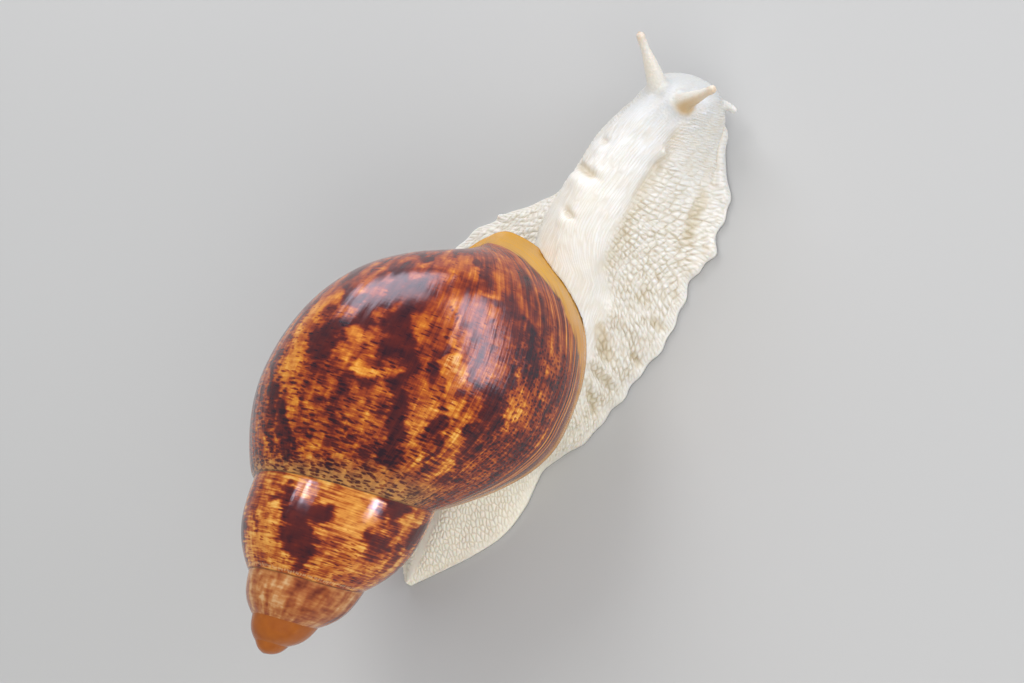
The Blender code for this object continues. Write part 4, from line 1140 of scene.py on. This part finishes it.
def wander(along, across, seed, long, wide):
    """Even noise over the shell's surface, drawn out along the spiral, about -1 to 1."""
    rng = np.random.default_rng(seed)
    total = np.zeros(len(along))
    for _ in range(10):
        angle, size = rng.uniform(0, 2 * np.pi), rng.uniform(0.7, 1.5)
        total += np.sin(
            2 * np.pi * (along * np.cos(angle) / (long * size) + across * np.sin(angle) / (wide * size))
            + rng.uniform(0, 2 * np.pi)
        )
    return total / 3.2


def marks(along, across, table):
    along, across = (
        along + 0.9 * wander(along, across, 21, 10, 6) + 0.45 * wander(along, across, 22, 4.5, 2.2),
        across + 1.0 * wander(along, across, 23, 9, 7) + 0.4 * wander(along, across, 24, 4, 3),
    )
    total = np.zeros(len(along))
    for (g0, v0), (g1, v1), wide, strength in table:
        d = np.array([g1 - g0, v1 - v0])
        share = np.clip(((along - g0) * d[0] + (across - v0) * d[1]) / (d @ d), 0, 1)
        dist = np.hypot(along - g0 - share * d[0], (across - v0 - share * d[1]) * 0.85)
        total = np.maximum(total, strength * np.exp(-((dist / (wide * 1.25)) ** 2.4)))
    return total


def shell_fields(obj):
    mesh = obj.data
    data = np.empty(len(mesh.loops) * 3, np.float32)
    mesh.attributes["grow"].data.foreach_get("vector", data)
    g, v, turn = data.reshape(-1, 3).astype(float).T
    attribute(mesh, "marks", np.stack([marks(g, v, DARK_MARKS), marks(g, v, PALE_MARKS), 0 * g], 1), "CORNER")


def shell_material():
    mat, net, shader = new_material("glazed_shell")
    g, v, turn = net.parts(net.vec("grow"))
    dark_mark, pale_mark, _ = net.parts(net.vec("marks"))
    # growth lines lean and waver a little
    waver = net.noise(net.join(net.mul(g, 0.10), net.mul(v, 0.11)), detail=1.0)
    g2 = net.add(g, net.mul(net.sub(waver, 0.5), 2.4))
    line_bend = net.add(g, net.mul(net.sub(waver, 0.5), 1.2))
    old = net.step(turn, -1.02, -0.98, 1.0, 0.0)

    def field(space, along, across, third=0.0, detail=2.5, rough=0.55):
        n = net.noise(net.join(net.mul(space, along), net.mul(v, across), third), detail=detail, rough=rough)
        return net.sub(n, 0.5)

    # clouds and flames along the growth lines, mottle, and streaks along the spiral,
    # strong near the suture and soft on the upper half
    cloud = field(g2, 0.15, 0.11, 11.0, detail=2.0)
    flame = field(g2, 0.30, 0.07)
    mottle = field(g2, 0.36, 0.36, detail=2.0, rough=0.5)
    streak = field(g, 0.27, 1.30, detail=2.5)
    long_streak = field(g, 0.14, 1.9, 21.0, detail=2.0)
    fine = field(g, 0.80, 3.2, 4.0, detail=2.0)
    lower = net.math("MAXIMUM", net.step(v, 50, 22, 0.22, 1.0), old)
    lashed = net.add(
        net.mul(streak, lower, net.add(0.95, net.mul(old, -0.45))), net.mul(fine, lower, 0.15), net.mul(long_streak, old, 1.0),
    )
    ragged = net.add(net.mul(lashed, 0.75), net.mul(mottle, net.add(0.9, net.mul(old, -0.45))))
    dark = net.step(net.add(dark_mark, net.mul(ragged, 0.80)), 0.18, 0.85)
    pale = net.step(net.add(pale_mark, net.mul(ragged, -0.80)), 0.22, 0.95)
    to_lip = net.mul(net.step(g, -46, -18), net.step(v, 10, 30, 0.55, 1.0))
    x = net.add(
        0.49, net.mul(flame, 0.75), net.mul(cloud, 0.80), net.mul(mottle, 0.62), lashed,
        net.mul(old, -0.14), net.mul(to_lip, 0.10), net.mul(net.step(v, 34, 14), -0.04),
    )
    x = net.add(net.mul(x, net.sub(1.0, net.mul(dark, 0.82))), net.mul(dark, net.add(0.72, net.mul(mottle, 0.35))))
    x = net.add(net.mul(x, net.sub(1.0, net.mul(pale, 0.80))), net.mul(pale, net.add(0.13, net.mul(mottle, 0.40), net.mul(lashed, 0.30))))
    # specks: dashes along the spiral, dense by the suture, rounder by the lip
    dash_space = net.join(
        net.add(net.mul(g, 0.38), net.mul(mottle, 0.9)),
        net.add(net.mul(v, 1.25), net.mul(g, 0.06), net.mul(mottle, 0.8)),
    )
    small = net.cells(dash_space, feature="F1", random=0.95, dims="2D").outputs["Distance"]
    dash_space = net.join(
        net.add(net.mul(g, 0.26), net.mul(mottle, 0.7)),
        net.add(net.mul(v, 1.08), net.mul(g, 0.05), net.mul(mottle, 0.6)),
    )
    large = net.cells(dash_space, feature="F1", random=0.95, dims="2D").outputs["Distance"]
    close = net.mul(net.step(v, 9.0, 5.0), net.sub(1.0, old))
    dash = net.add(net.mul(small, close), net.mul(large, net.sub(1.0, close)))
    dot = net.cells(
        net.join(net.add(net.mul(g, 0.84), net.mul(mottle, 0.9)), net.add(net.mul(v, 0.92), net.mul(cloud, 0.9))),
        feature="F1", random=0.95, dims="2D",
    ).outputs["Distance"]
    by_suture = net.step(v, 6.0, 28.0, 1.0, 0.0)
    by_lip = net.mul(net.step(g, -36, -25), net.step(g, -8.0, -5.0, 1.0, 0.0), net.step(v, 56, 42))
    crowd = net.noise(net.join(net.mul(g, 0.16), net.mul(v, 0.16), 7.0), detail=2.0)
    dash_size = net.add(net.mul(by_suture, 0.20), net.mul(crowd, 0.80), -0.20, net.mul(old, -0.24), net.mul(fine, 0.30), net.mul(net.step(v, 30, 46), -0.12))
    dash_on = net.step(net.sub(dash, dash_size), -0.15, 0.06, 1.0, 0.0)
    dot_size = net.add(net.mul(crowd, 0.55), 0.02, net.mul(fine, 0.25))
    dot_on = net.mul(net.step(net.sub(dot, dot_size), -0.12, 0.06, 1.0, 0.0), by_lip)
    dash_on = net.mul(dash_on, net.sub(1.0, net.mul(by_lip, 0.8)))
    specks = net.math("MAXIMUM", dash_on, dot_on)
    specks = net.mul(specks, net.step(turn, -2.0, -1.85), net.step(g, -5.0, -3.6, 1.0, 0.0))
    x = net.add(x, net.mul(specks, net.sub(0.29, net.mul(dark, 0.16))))
    # golden band behind the lip, wide at the top, and growth rests behind it
    lip_width = net.add(
        4.0, net.step(v, 44, 60, 0.0, 10.0), net.step(v, 58, 76, 0.0, 12.0),
        net.mul(net.sub(net.noise(net.join(0.0, net.mul(v, 0.16), 5.0), detail=2.0), 0.5), net.step(v, 30, 60, 1.4, 5.0)),
    )
    from_lip = net.add(g2, lip_width)
    lines = net.noise(net.join(net.mul(line_bend, 1.35), net.mul(v, 0.022)), detail=2.0, rough=0.6)
    wide_lines = net.noise(net.join(net.mul(line_bend, 0.50), net.mul(v, 0.02), 9.0), detail=2.0, rough=0.6)
    lines_on = net.mul(net.step(from_lip, -10.5, -5.0), net.step(from_lip, -0.4, 0.8, 1.0, 0.0), net.step(v, 66, 46, 0.35, 1.0))
    line_x = net.add(0.50, net.mul(net.sub(lines, 0.5), 4.2), net.mul(net.sub(wide_lines, 0.5), 1.6))
    line_x = net.math("MINIMUM", net.math("MAXIMUM", line_x, 0.05), 0.95)
    x = net.add(net.mul(x, net.sub(1.0, net.mul(lines_on, 0.9))), net.mul(line_x, net.mul(lines_on, 0.9)))
    faint = net.mul(net.sub(net.noise(net.join(net.mul(line_bend, 1.1), net.mul(v, 0.03), 3.0), detail=3.0, rough=0.7), 0.5), 1.1)
    x = net.add(x, net.mul(faint, net.step(g, -64, -20, 0.25, 1.0), net.sub(1.0, old)))
    colour = net.ramp(x, (
        (0.0, (0.86, 0.48, 0.11)), (0.13, (0.72, 0.28, 0.030)), (0.30, (0.50, 0.120, 0.012)),
        (0.48, (0.30, 0.042, 0.009)), (0.66, (0.120, 0.013, 0.009)), (0.95, (0.024, 0.005, 0.011)),
    ))
    # pale cream where the marks are strongest
    colour = net.mix(net.mul(net.step(pale_mark, 0.95, 1.3), net.step(x, 0.05, 0.3, 1.0, 0.0), 0.5), colour, (0.95, 0.74, 0.38))
    # golden tan band under the suture of the last whorl
    band = net.mul(
        net.step(net.add(v, net.mul(streak, 5.0), net.mul(mottle, 7.0)), 0.0, net.step(g, -78, -36, 4.6, 11.0), 0.95, 0.0),
        net.step(g, -18, -30), net.sub(1.0, old),
    )
    tan = net.mix(net.step(mottle, -0.14, 0.14), (0.60, 0.33, 0.092), (0.49, 0.27, 0.088))
    tan = net.mix(net.mul(specks, 0.80), tan, (0.21, 0.048, 0.014))
    colour = net.mix(net.mul(band, net.step(x, 0.50, 0.85, 0.72, 0.15)), colour, tan)
    # whorl before the last: cream and yellow where it is light
    colour = net.mix(net.mul(old, net.step(x, 0.42, 0.10, 0.0, 0.25)), colour, (0.78, 0.42, 0.12))
    seam = net.mul(net.step(v, 0.20, 0.6, 1.0, 0.0), net.step(g, -14, -24))
    colour = net.mix(net.mul(seam, 0.75), colour, (0.12, 0.05, 0.02))
    beads = net.cells(net.join(net.mul(g, 1.3), net.mul(v, 1.0)), feature="F1", random=0.5, dims="2D").outputs["Distance"]
    rim = net.mul(net.step(v, 0.4, 0.8), net.step(v, 1.2, 2.0, 1.0, 0.0), net.step(beads, 0.25, 0.5, 1.0, 0.0), net.step(g, -150, -190))
    colour = net.mix(net.mul(rim, 0.38), colour, (0.76, 0.55, 0.28))
    # the first whorls are plain worn orange-brown
    cloudy = net.noise(net.place(), scale=0.35, detail=3.0)
    tip_colour = net.mix(cloudy, (0.45, 0.13, 0.010), (0.27, 0.058, 0.006))
    smear = net.add(net.mul(mottle, 0.85), net.mul(streak, 0.5), net.mul(flame, 1.15), net.mul(dark_mark, 0.55), net.mul(pale_mark, -0.5))
    brown = net.ramp(net.add(smear, 0.46), (
        (0.16, (0.66, 0.40, 0.19)), (0.36, (0.50, 0.195, 0.055)), (0.58, (0.33, 0.08, 0.02)), (0.85, (0.13, 0.018, 0.008)),
    ))
    colour = net.mix(net.step(turn, -1.93, -2.03), colour, brown)
    colour = net.mix(net.step(turn, -2.90, -3.02), colour, tip_colour)
    # golden lip, white-yellow at the very edge, and dull tan within the mouth
    ochre = net.mix(net.noise(net.join(net.mul(g, 0.45), net.mul(v, 0.07)), detail=3.0), (0.70, 0.29, 0.007), (0.52, 0.185, 0.005))
    ochre = net.mix(net.step(v, 50, 68, 0.0, 0.8), ochre, (0.62, 0.31, 0.007))
    stain = net.mul(net.step(net.sub(wide_lines, 0.5), 0.0, 0.12), net.step(from_lip, 4.6, 0.4))
    ochre = net.mix(net.mul(stain, 0.80), ochre, (0.24, 0.055, 0.008))
    colour = net.mix(net.step(net.add(from_lip, net.mul(net.sub(lines, 0.5), 1.8), net.mul(net.sub(wide_lines, 0.5), 4.0)), -0.6, 1.0), colour, ochre)
    colour = net.mix(net.step(g, 0.6, 2.4), colour, (0.80, 0.54, 0.17))
    colour = net.mix(net.step(g, 3.3, 3.8), colour, (0.62, 0.55, 0.50))
    tree = net.tree
    tree.links.new(colour, shader.inputs["Base Color"])
    # gloss: a clear skin over a slightly grooved layer
    grow_line = net.noise(net.join(net.mul(line_bend, 2.3), net.mul(v, 0.04)), detail=3.0, rough=0.7)
    rests = net.noise(net.join(net.mul(line_bend, 0.8), net.mul(v, 0.04), 6.0), detail=1.0)
    spiral = net.noise(net.join(net.mul(g, 0.06), net.mul(v, 2.6), 2.0), detail=2.0, rough=0.6)
    near_lip = net.step(g, -60, -6)
    height = net.add(
        net.mul(grow_line, net.add(0.055, net.mul(near_lip, 0.085))),
        net.mul(rests, net.add(0.06, net.mul(near_lip, 0.11))),
        net.mul(spiral, 0.024),
        net.mul(net.noise(net.place(), scale=0.22, detail=1.0), 0.08),
    )
    tree.links.new(net.bump(height, 0.7), shader.inputs["Normal"])
    tree.links.new(net.bump(height, 0.55), shader.inputs["Coat Normal"])
    worn = net.add(net.step(turn, -2.4, -3.2, 0.42, 0.5), net.mul(mottle, 0.10))
    tree.links.new(worn, shader.inputs["Roughness"])
    shader.inputs["Coat Weight"].default_value = 1.0
    shader.inputs["Coat Roughness"].default_value = 0.145
    shader.inputs["Coat IOR"].default_value = 1.5
    shader.inputs["Specular IOR Level"].default_value = 0.02
    return mat


# ================================================================= skin finish
def skin_height(net):
    """Relief of the skin in mm, and how deep in a groove each place is, used to paint shade into the grooves."""
    strong_cells, strong_rows, strong_lines = net.parts(net.vec("strong_a"))
    strong_ribs, strong_across, strong_grain = net.parts(net.vec("strong_b"))
    spot_mm = net.place()
    waver = net.noise(spot_mm, scale=0.22, detail=2.0)
    bend = net.join(net.mul(net.sub(waver, 0.5), 0.9), net.mul(net.sub(waver, 0.5), 0.6), 0.0)

    def domes(name, edge, random, finer=1.0):
        v = net.scaled(net.shifted(net.vec(name), bend), finer)
        d = net.cells(v, random=random, dims="2D").outputs["Distance"]
        short = net.math("SUBTRACT", 1.0, net.math("DIVIDE", d, edge), clamp=True)
        return net.sub(1.0, net.mul(short, short)), net.step(d, 0.0, edge * 0.75, 1.0, 0.0)

    cells, cells_gap = domes("cells", 0.42, 0.64)
    long_cells, long_gap = domes("ribs", 0.40, 0.90, 0.55)
    rows, rows_gap = domes("rows", 0.36, 0.85)
    lines, lines_gap = domes("lines", 0.36, 0.80)
    ribs, ribs_gap = domes("ribs", 0.38, 0.80)
    across, across_gap = domes("across", 0.36, 0.85)
    uneven = net.step(net.noise(spot_mm, scale=0.30, detail=1.0), 0.36, 0.64, 0.62, 1.15)
    d = net.cells(spot_mm, scale=1.15, random=0.9).outputs["Distance"]
    grain, grain_gap = net.step(d, 0.0, 0.30), net.step(d, 0.0, 0.12, 1.0, 0.0)
    height = net.add(
        net.mul(cells, strong_cells, uneven, 0.27), net.mul(long_cells, strong_cells, 0.14), net.mul(rows, strong_rows, 0.24),
        net.mul(lines, strong_lines, uneven, 0.085), net.mul(ribs, strong_ribs, 0.17), net.mul(across, strong_across, 0.12),
        net.mul(grain, strong_grain, 0.045),
    )
    # groove: where the grooves between the tubercles lie, to paint shade into them
    groove = net.add(
        net.mul(cells_gap, strong_cells, uneven), net.mul(long_gap, strong_cells, 0.65), net.mul(rows_gap, strong_rows, 0.9),
        net.mul(lines_gap, strong_lines, 0.55), net.mul(ribs_gap, strong_ribs, 0.7),
        net.mul(across_gap, strong_across, 0.55), net.mul(grain_gap, strong_grain, 0.2),
    )
    return height, groove


def add_relief(obj):
    """Push the skin out along its normals by its own relief, then apply it."""
    tree = bpy.data.node_groups.new("skin_relief", "GeometryNodeTree")
    tree.interface.new_socket("Geometry", in_out="INPUT", socket_type="NodeSocketGeometry")
    tree.interface.new_socket("Geometry", in_out="OUTPUT", socket_type="NodeSocketGeometry")
    net = Net(tree, geometry=True)
    start, end = net.node("NodeGroupInput"), net.node("NodeGroupOutput")
    height, _ = skin_height(net)
    normal = net.node("GeometryNodeInputNormal").outputs[0]
    move = net.node("GeometryNodeSetPosition")
    tree.links.new(start.outputs[0], move.inputs["Geometry"])
    tree.links.new(net.scaled(normal, net.mul(net.sub(height, 0.12), MM)), move.inputs["Offset"])
    tree.links.new(move.outputs[0], end.inputs[0])
    mod = obj.modifiers.new("relief", "NODES")
    mod.node_group = tree
    settled(obj)
    co = points_of(obj.data)
    co[:, 2] = np.where(co[:, 2] < 0.10 * MM, 0.0, co[:, 2])
    set_points(obj.data, co)
    obj.data.shade_smooth()


def skin_material():
    mat, net, shader = new_material("snail_skin")
    height, groove = skin_height(net)
    fold_shade, tail, knob = net.parts(net.vec("tone"))
    feeler_share, front, flank = net.parts(net.vec("tone_b"))
    under, _, _ = net.parts(net.vec("feeler_underside_shade"))
    place = net.place()
    broad = net.noise(place, scale=0.09, detail=3.0)
    mid = net.noise(place, scale=0.35, detail=3.0)
    ivory = net.mix(broad, (0.86, 0.84, 0.80), (0.82, 0.78, 0.70))
    ivory = net.mix(net.mul(front, 0.85, net.sub(1.0, net.mul(feeler_share, 0.7))), ivory, (0.565, 0.58, 0.585))
    colour = net.mix(net.mul(flank, 0.4), ivory, (0.86, 0.82, 0.74))
    colour = net.mix(net.mul(tail, 0.85), colour, (0.93, 0.865, 0.725))
    colour = net.mix(net.mul(net.step(mid, 0.45, 0.7), 0.16), colour, (0.85, 0.77, 0.63))
    # painted shade: the grooves between the tubercles darkened to tan, more so in the folds
    groove_shade_colour = net.mix(tail, (0.56, 0.47, 0.32), (0.66, 0.55, 0.36))
    # painted shade: the folds on the flank darkened to olive tan
    colour = net.mix(net.mul(net.step(fold_shade, 0.05, 1.0), flank, 0.55), colour, (0.66, 0.565, 0.38))
    deep = net.add(0.46, net.mul(net.sub(mid, 0.5), 0.5), net.mul(fold_shade, 0.3))
    colour = net.mix(net.math("MULTIPLY", groove, deep, clamp=True), colour, groove_shade_colour)
    # painted shade: the folds on the neck darkened to tan
    colour = net.mix(net.mul(fold_shade, net.sub(1.0, flank), 0.55), colour, (0.70, 0.57, 0.38))
    colour = net.mix(net.mul(feeler_share, 0.55), colour, (0.80, 0.735, 0.625))
    # painted shade on the right feeler's rear and under side
    colour = net.mix(net.mul(under, 0.92), colour, (0.60, 0.42, 0.215))
    colour = net.mix(net.mul(knob, 0.45), colour, (0.74, 0.56, 0.40))
    tree = net.tree
    tree.links.new(colour, shader.inputs["Base Color"])
    rough = net.add(0.40, net.mul(net.sub(mid, 0.5), 0.22), net.mul(groove, 0.10))
    tree.links.new(rough, shader.inputs["Roughness"])
    fine = net.noise(place, scale=2.6, detail=3.0, rough=0.6)
    tree.links.new(net.bump(net.add(net.mul(height, 0.55), net.mul(fine, 0.05)), 0.8), shader.inputs["Normal"])
    shader.inputs["Specular IOR Level"].default_value = 0.45
    shader.inputs["Subsurface Weight"].default_value = 0.22
    shader.inputs["Subsurface Radius"].default_value = (1.0, 0.62, 0.38)
    shader.inputs["Subsurface Scale"].default_value = 0.0014
    shader.inputs["Coat Weight"].default_value = 0.12
    shader.inputs["Coat Roughness"].default_value = 0.25
    return mat


def mantle_material():
    mat, net, shader = new_material("snail_mantle")
    place = net.place()
    broad = net.noise(place, scale=0.12, detail=3.0)
    veins = net.noise(place, scale=0.6, detail=4.0, rough=0.6, distort=0.6)
    colour = net.mix(broad, (0.88, 0.84, 0.75), (0.80, 0.73, 0.60))
    colour = net.mix(net.mul(net.step(veins, 0.52, 0.70), 0.30), colour, (0.66, 0.54, 0.38))
    net.tree.links.new(colour, shader.inputs["Base Color"])
    net.tree.links.new(net.add(0.27, net.mul(net.sub(veins, 0.5), 0.2)), shader.inputs["Roughness"])
    net.tree.links.new(net.bump(net.add(net.mul(veins, 0.12), net.mul(net.noise(place, scale=2.0, detail=2.0), 0.04)), 0.7), shader.inputs["Normal"])
    shader.inputs["Subsurface Weight"].default_value = 0.25
    shader.inputs["Subsurface Radius"].default_value = (1.0, 0.62, 0.38)
    shader.inputs["Subsurface Scale"].default_value = 0.0015
    shader.inputs["Coat Weight"].default_value = 0.35
    shader.inputs["Coat Roughness"].default_value = 0.12
    return mat


def eye_material():
    mat, net, shader = new_material("snail_eye")
    place = net.place()
    colour = net.mix(net.noise(place, scale=2.2, detail=2.0), (0.80, 0.65, 0.50), (0.70, 0.54, 0.40))
    net.tree.links.new(colour, shader.inputs["Base Color"])
    net.tree.links.new(net.add(0.12, net.mul(net.noise(place, scale=4.0), 0.08)), shader.inputs["Roughness"])
    shader.inputs["Coat Weight"].default_value = 0.6
    shader.inputs["Coat Roughness"].default_value = 0.05
    return mat


# ================================================================= the pieces
def only_material(obj, mat):
    obj.data.materials.clear()
    obj.data.materials.append(mat)


shell, mouth_flat = make_shell()
shell_fields(shell)
only_material(shell, shell_material())
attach(shell, "root")
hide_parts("shell")

mantle = mouth_plug("snail_mantle", mouth_flat, COLLAR_RINGS, 0.22)
co, no = points_of(mantle.data), normals_of(mantle.data)
P = np.stack([-co[:, 1], -co[:, 0], co[:, 2]], 1) / MM
out = (co - np.array(TIP)) @ GROWTH / MM
swell = 0.16 * lumps(P, 5.0, 11) + 0.07 * lumps(P, 2.0, 12)
set_points(mantle.data, co + no * (swell * smooth(out, 0.4, 1.8) * MM)[:, None])
mantle.data.shade_smooth()
only_material(mantle, mantle_material())
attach(mantle, "root")
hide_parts("mantle_collar")

skin, feeler_tips = make_skin(mouth_flat)
add_relief(skin)
only_material(skin, skin_material())
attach(skin, "root")
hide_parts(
    "head", "neck", "foot_front", "foot_middle", "tail",
    "tentacle_upper_left", "tentacle_upper_right", "tentacle_lower_left", "tentacle_lower_right",
)

eye_finish = eye_material()
for name in ("eye_left", "eye_right"):
    node = frame["nodes"][name]
    node.material_slots[0].material = eye_finish
    for poly in node.data.polygons:
        poly.use_smooth = True

# ============================================================ floor and light
bm = bmesh.new()
bmesh.ops.create_circle(bm, cap_ends=True, segments=96, radius=1.6)
floor_mesh = bpy.data.meshes.new("floor")
bm.to_mesh(floor_mesh)
bm.free()
floor = bpy.data.objects.new("floor", floor_mesh)
bpy.context.scene.collection.objects.link(floor)
floor.location.z = -0.0001
# pale, and melting into the room's own tone towards its rim
mat, net, shader = new_material("floor_pale")
tone = net.noise(net.place(), scale=0.004, detail=2.0)
net.tree.links.new(net.mix(tone, (0.50, 0.50, 0.495), (0.54, 0.535, 0.525)), shader.inputs["Base Color"])
shader.inputs["Roughness"].default_value = 0.7
flat = net.node("ShaderNodeVectorMath", operation="LENGTH")
net.put(flat.inputs[0], net.node("ShaderNodeTexCoord").outputs["Object"])
clear = net.node("ShaderNodeBsdfTransparent")
melt = net.node("ShaderNodeMixShader")
net.put(melt.inputs[0], net.step(flat.outputs["Value"], 0.45, 1.45))
net.tree.links.new(shader.outputs[0], melt.inputs[1])
net.tree.links.new(clear.outputs[0], melt.inputs[2])
out = [n for n in net.tree.nodes if n.type == "OUTPUT_MATERIAL"][0]
net.tree.links.new(melt.outputs[0], out.inputs["Surface"])
floor_mesh.materials.append(mat)

world_light = bpy.data.worlds.new("soft_room")
bpy.context.scene.world = world_light
world_light.use_nodes = True
back = world_light.node_tree.nodes["Background"]
back.inputs[0].default_value = (0.95, 0.97, 1.0, 1.0)
back.inputs[1].default_value = 0.36


def area_light(name, toward, distance, size, power, colour, target=(0.0, 0.0, 0.03), glossy=True, diffuse=True):
    """Soft panel in the direction toward, facing the target."""
    data = bpy.data.lights.new(name, "AREA")
    data.shape = "RECTANGLE"
    data.size, data.size_y = size
    data.energy = power
    data.color = colour
    obj = bpy.data.objects.new(name, data)
    bpy.context.scene.collection.objects.link(obj)
    d = Vector(toward).normalized()
    obj.location = Vector(target) + d * distance
    obj.rotation_euler = d.to_track_quat("Z", "Y").to_euler()
    obj.visible_camera = False
    obj.visible_glossy = glossy
    obj.visible_diffuse = diffuse
    return obj


COOL, WARM, LAVENDER = (0.90, 0.94, 1.0), (1.0, 0.99, 0.975), (0.86, 0.84, 1.0)
area_light("key", (0.50, -0.36, 0.79), 0.80, (0.36, 0.36), 2.0, WARM, glossy=False)
area_light("overhead", (-0.10, 0.20, 1.0), 0.90, (0.90, 0.90), 2.1, WARM, glossy=False)
area_light("fill_right", (-0.72, 0.42, 0.55), 0.90, (0.80, 0.60), 3.3, WARM, glossy=False)
area_light("fill_left", (0.66, -0.68, 0.34), 0.85, (0.60, 0.36), 2.6, COOL, glossy=False)
area_light("fill_front", (-0.56, -0.75, 0.30), 0.85, (0.85, 0.32), 3.2, COOL, glossy=False)
# low panels, seen in the gloss only
area_light("panel_left", (0.66, -0.68, 0.34), 0.70, (0.60, 0.36), 4.0, LAVENDER, diffuse=False)
area_light("panel_front", (-0.56, -0.75, 0.30), 0.70, (0.85, 0.30), 6.0, LAVENDER, diffuse=False)
# small ones for the glints on the spire
for name, toward, at, size, power in (
    ("glint_top", (0.28, 0.0, 0.96), (0.0042, 0.0491, 0.0604), (0.022, 0.014), 0.00032),
    ("glint_side", (-0.92, -0.20, 0.30), (-0.0083, 0.0439, 0.0524), (0.022, 0.012), 0.00032),
):
    glint = area_light(name, toward, 0.08, size, power, LAVENDER, target=at, diffuse=False)
    glint.data.spread = math.radians(12)

# ===================================================================== camera
AIM = (-2.0, 0.0, 25.0)
DISTANCE, VIEW_LEAN, HEADING = 447.0, 27.0, 60.0
lean, heading = math.radians(VIEW_LEAN), math.radians(HEADING)
toward_eye = Vector((-math.sin(lean), 0.0, math.cos(lean)))
ahead = Vector((0.0, -1.0, 0.0))
beside = ahead.cross(toward_eye)
right = ahead * math.cos(heading) + beside * math.sin(heading)
upward = ahead * math.sin(heading) - beside * math.cos(heading)
camera_data = bpy.data.cameras.new("camera")
camera_data.lens, camera_data.sensor_width = 70.0, 36.0
camera_data.clip_start, camera_data.clip_end = 0.01, 20.0
camera_data.dof.use_dof = False
camera = bpy.data.objects.new("camera", camera_data)
bpy.context.scene.collection.objects.link(camera)
spot_m = Vector(AIM) * MM + toward_eye * (DISTANCE * MM)
camera.matrix_world = Matrix((
    (right.x, upward.x, toward_eye.x, spot_m.x),
    (right.y, upward.y, toward_eye.y, spot_m.y),
    (right.z, upward.z, toward_eye.z, spot_m.z),
    (0, 0, 0, 1),
))
bpy.context.scene.camera = camera
bpy.context.scene.view_settings.view_transform = "Standard"
bpy.context.scene.view_settings.look = "None"

bpy.context.view_layer.update()
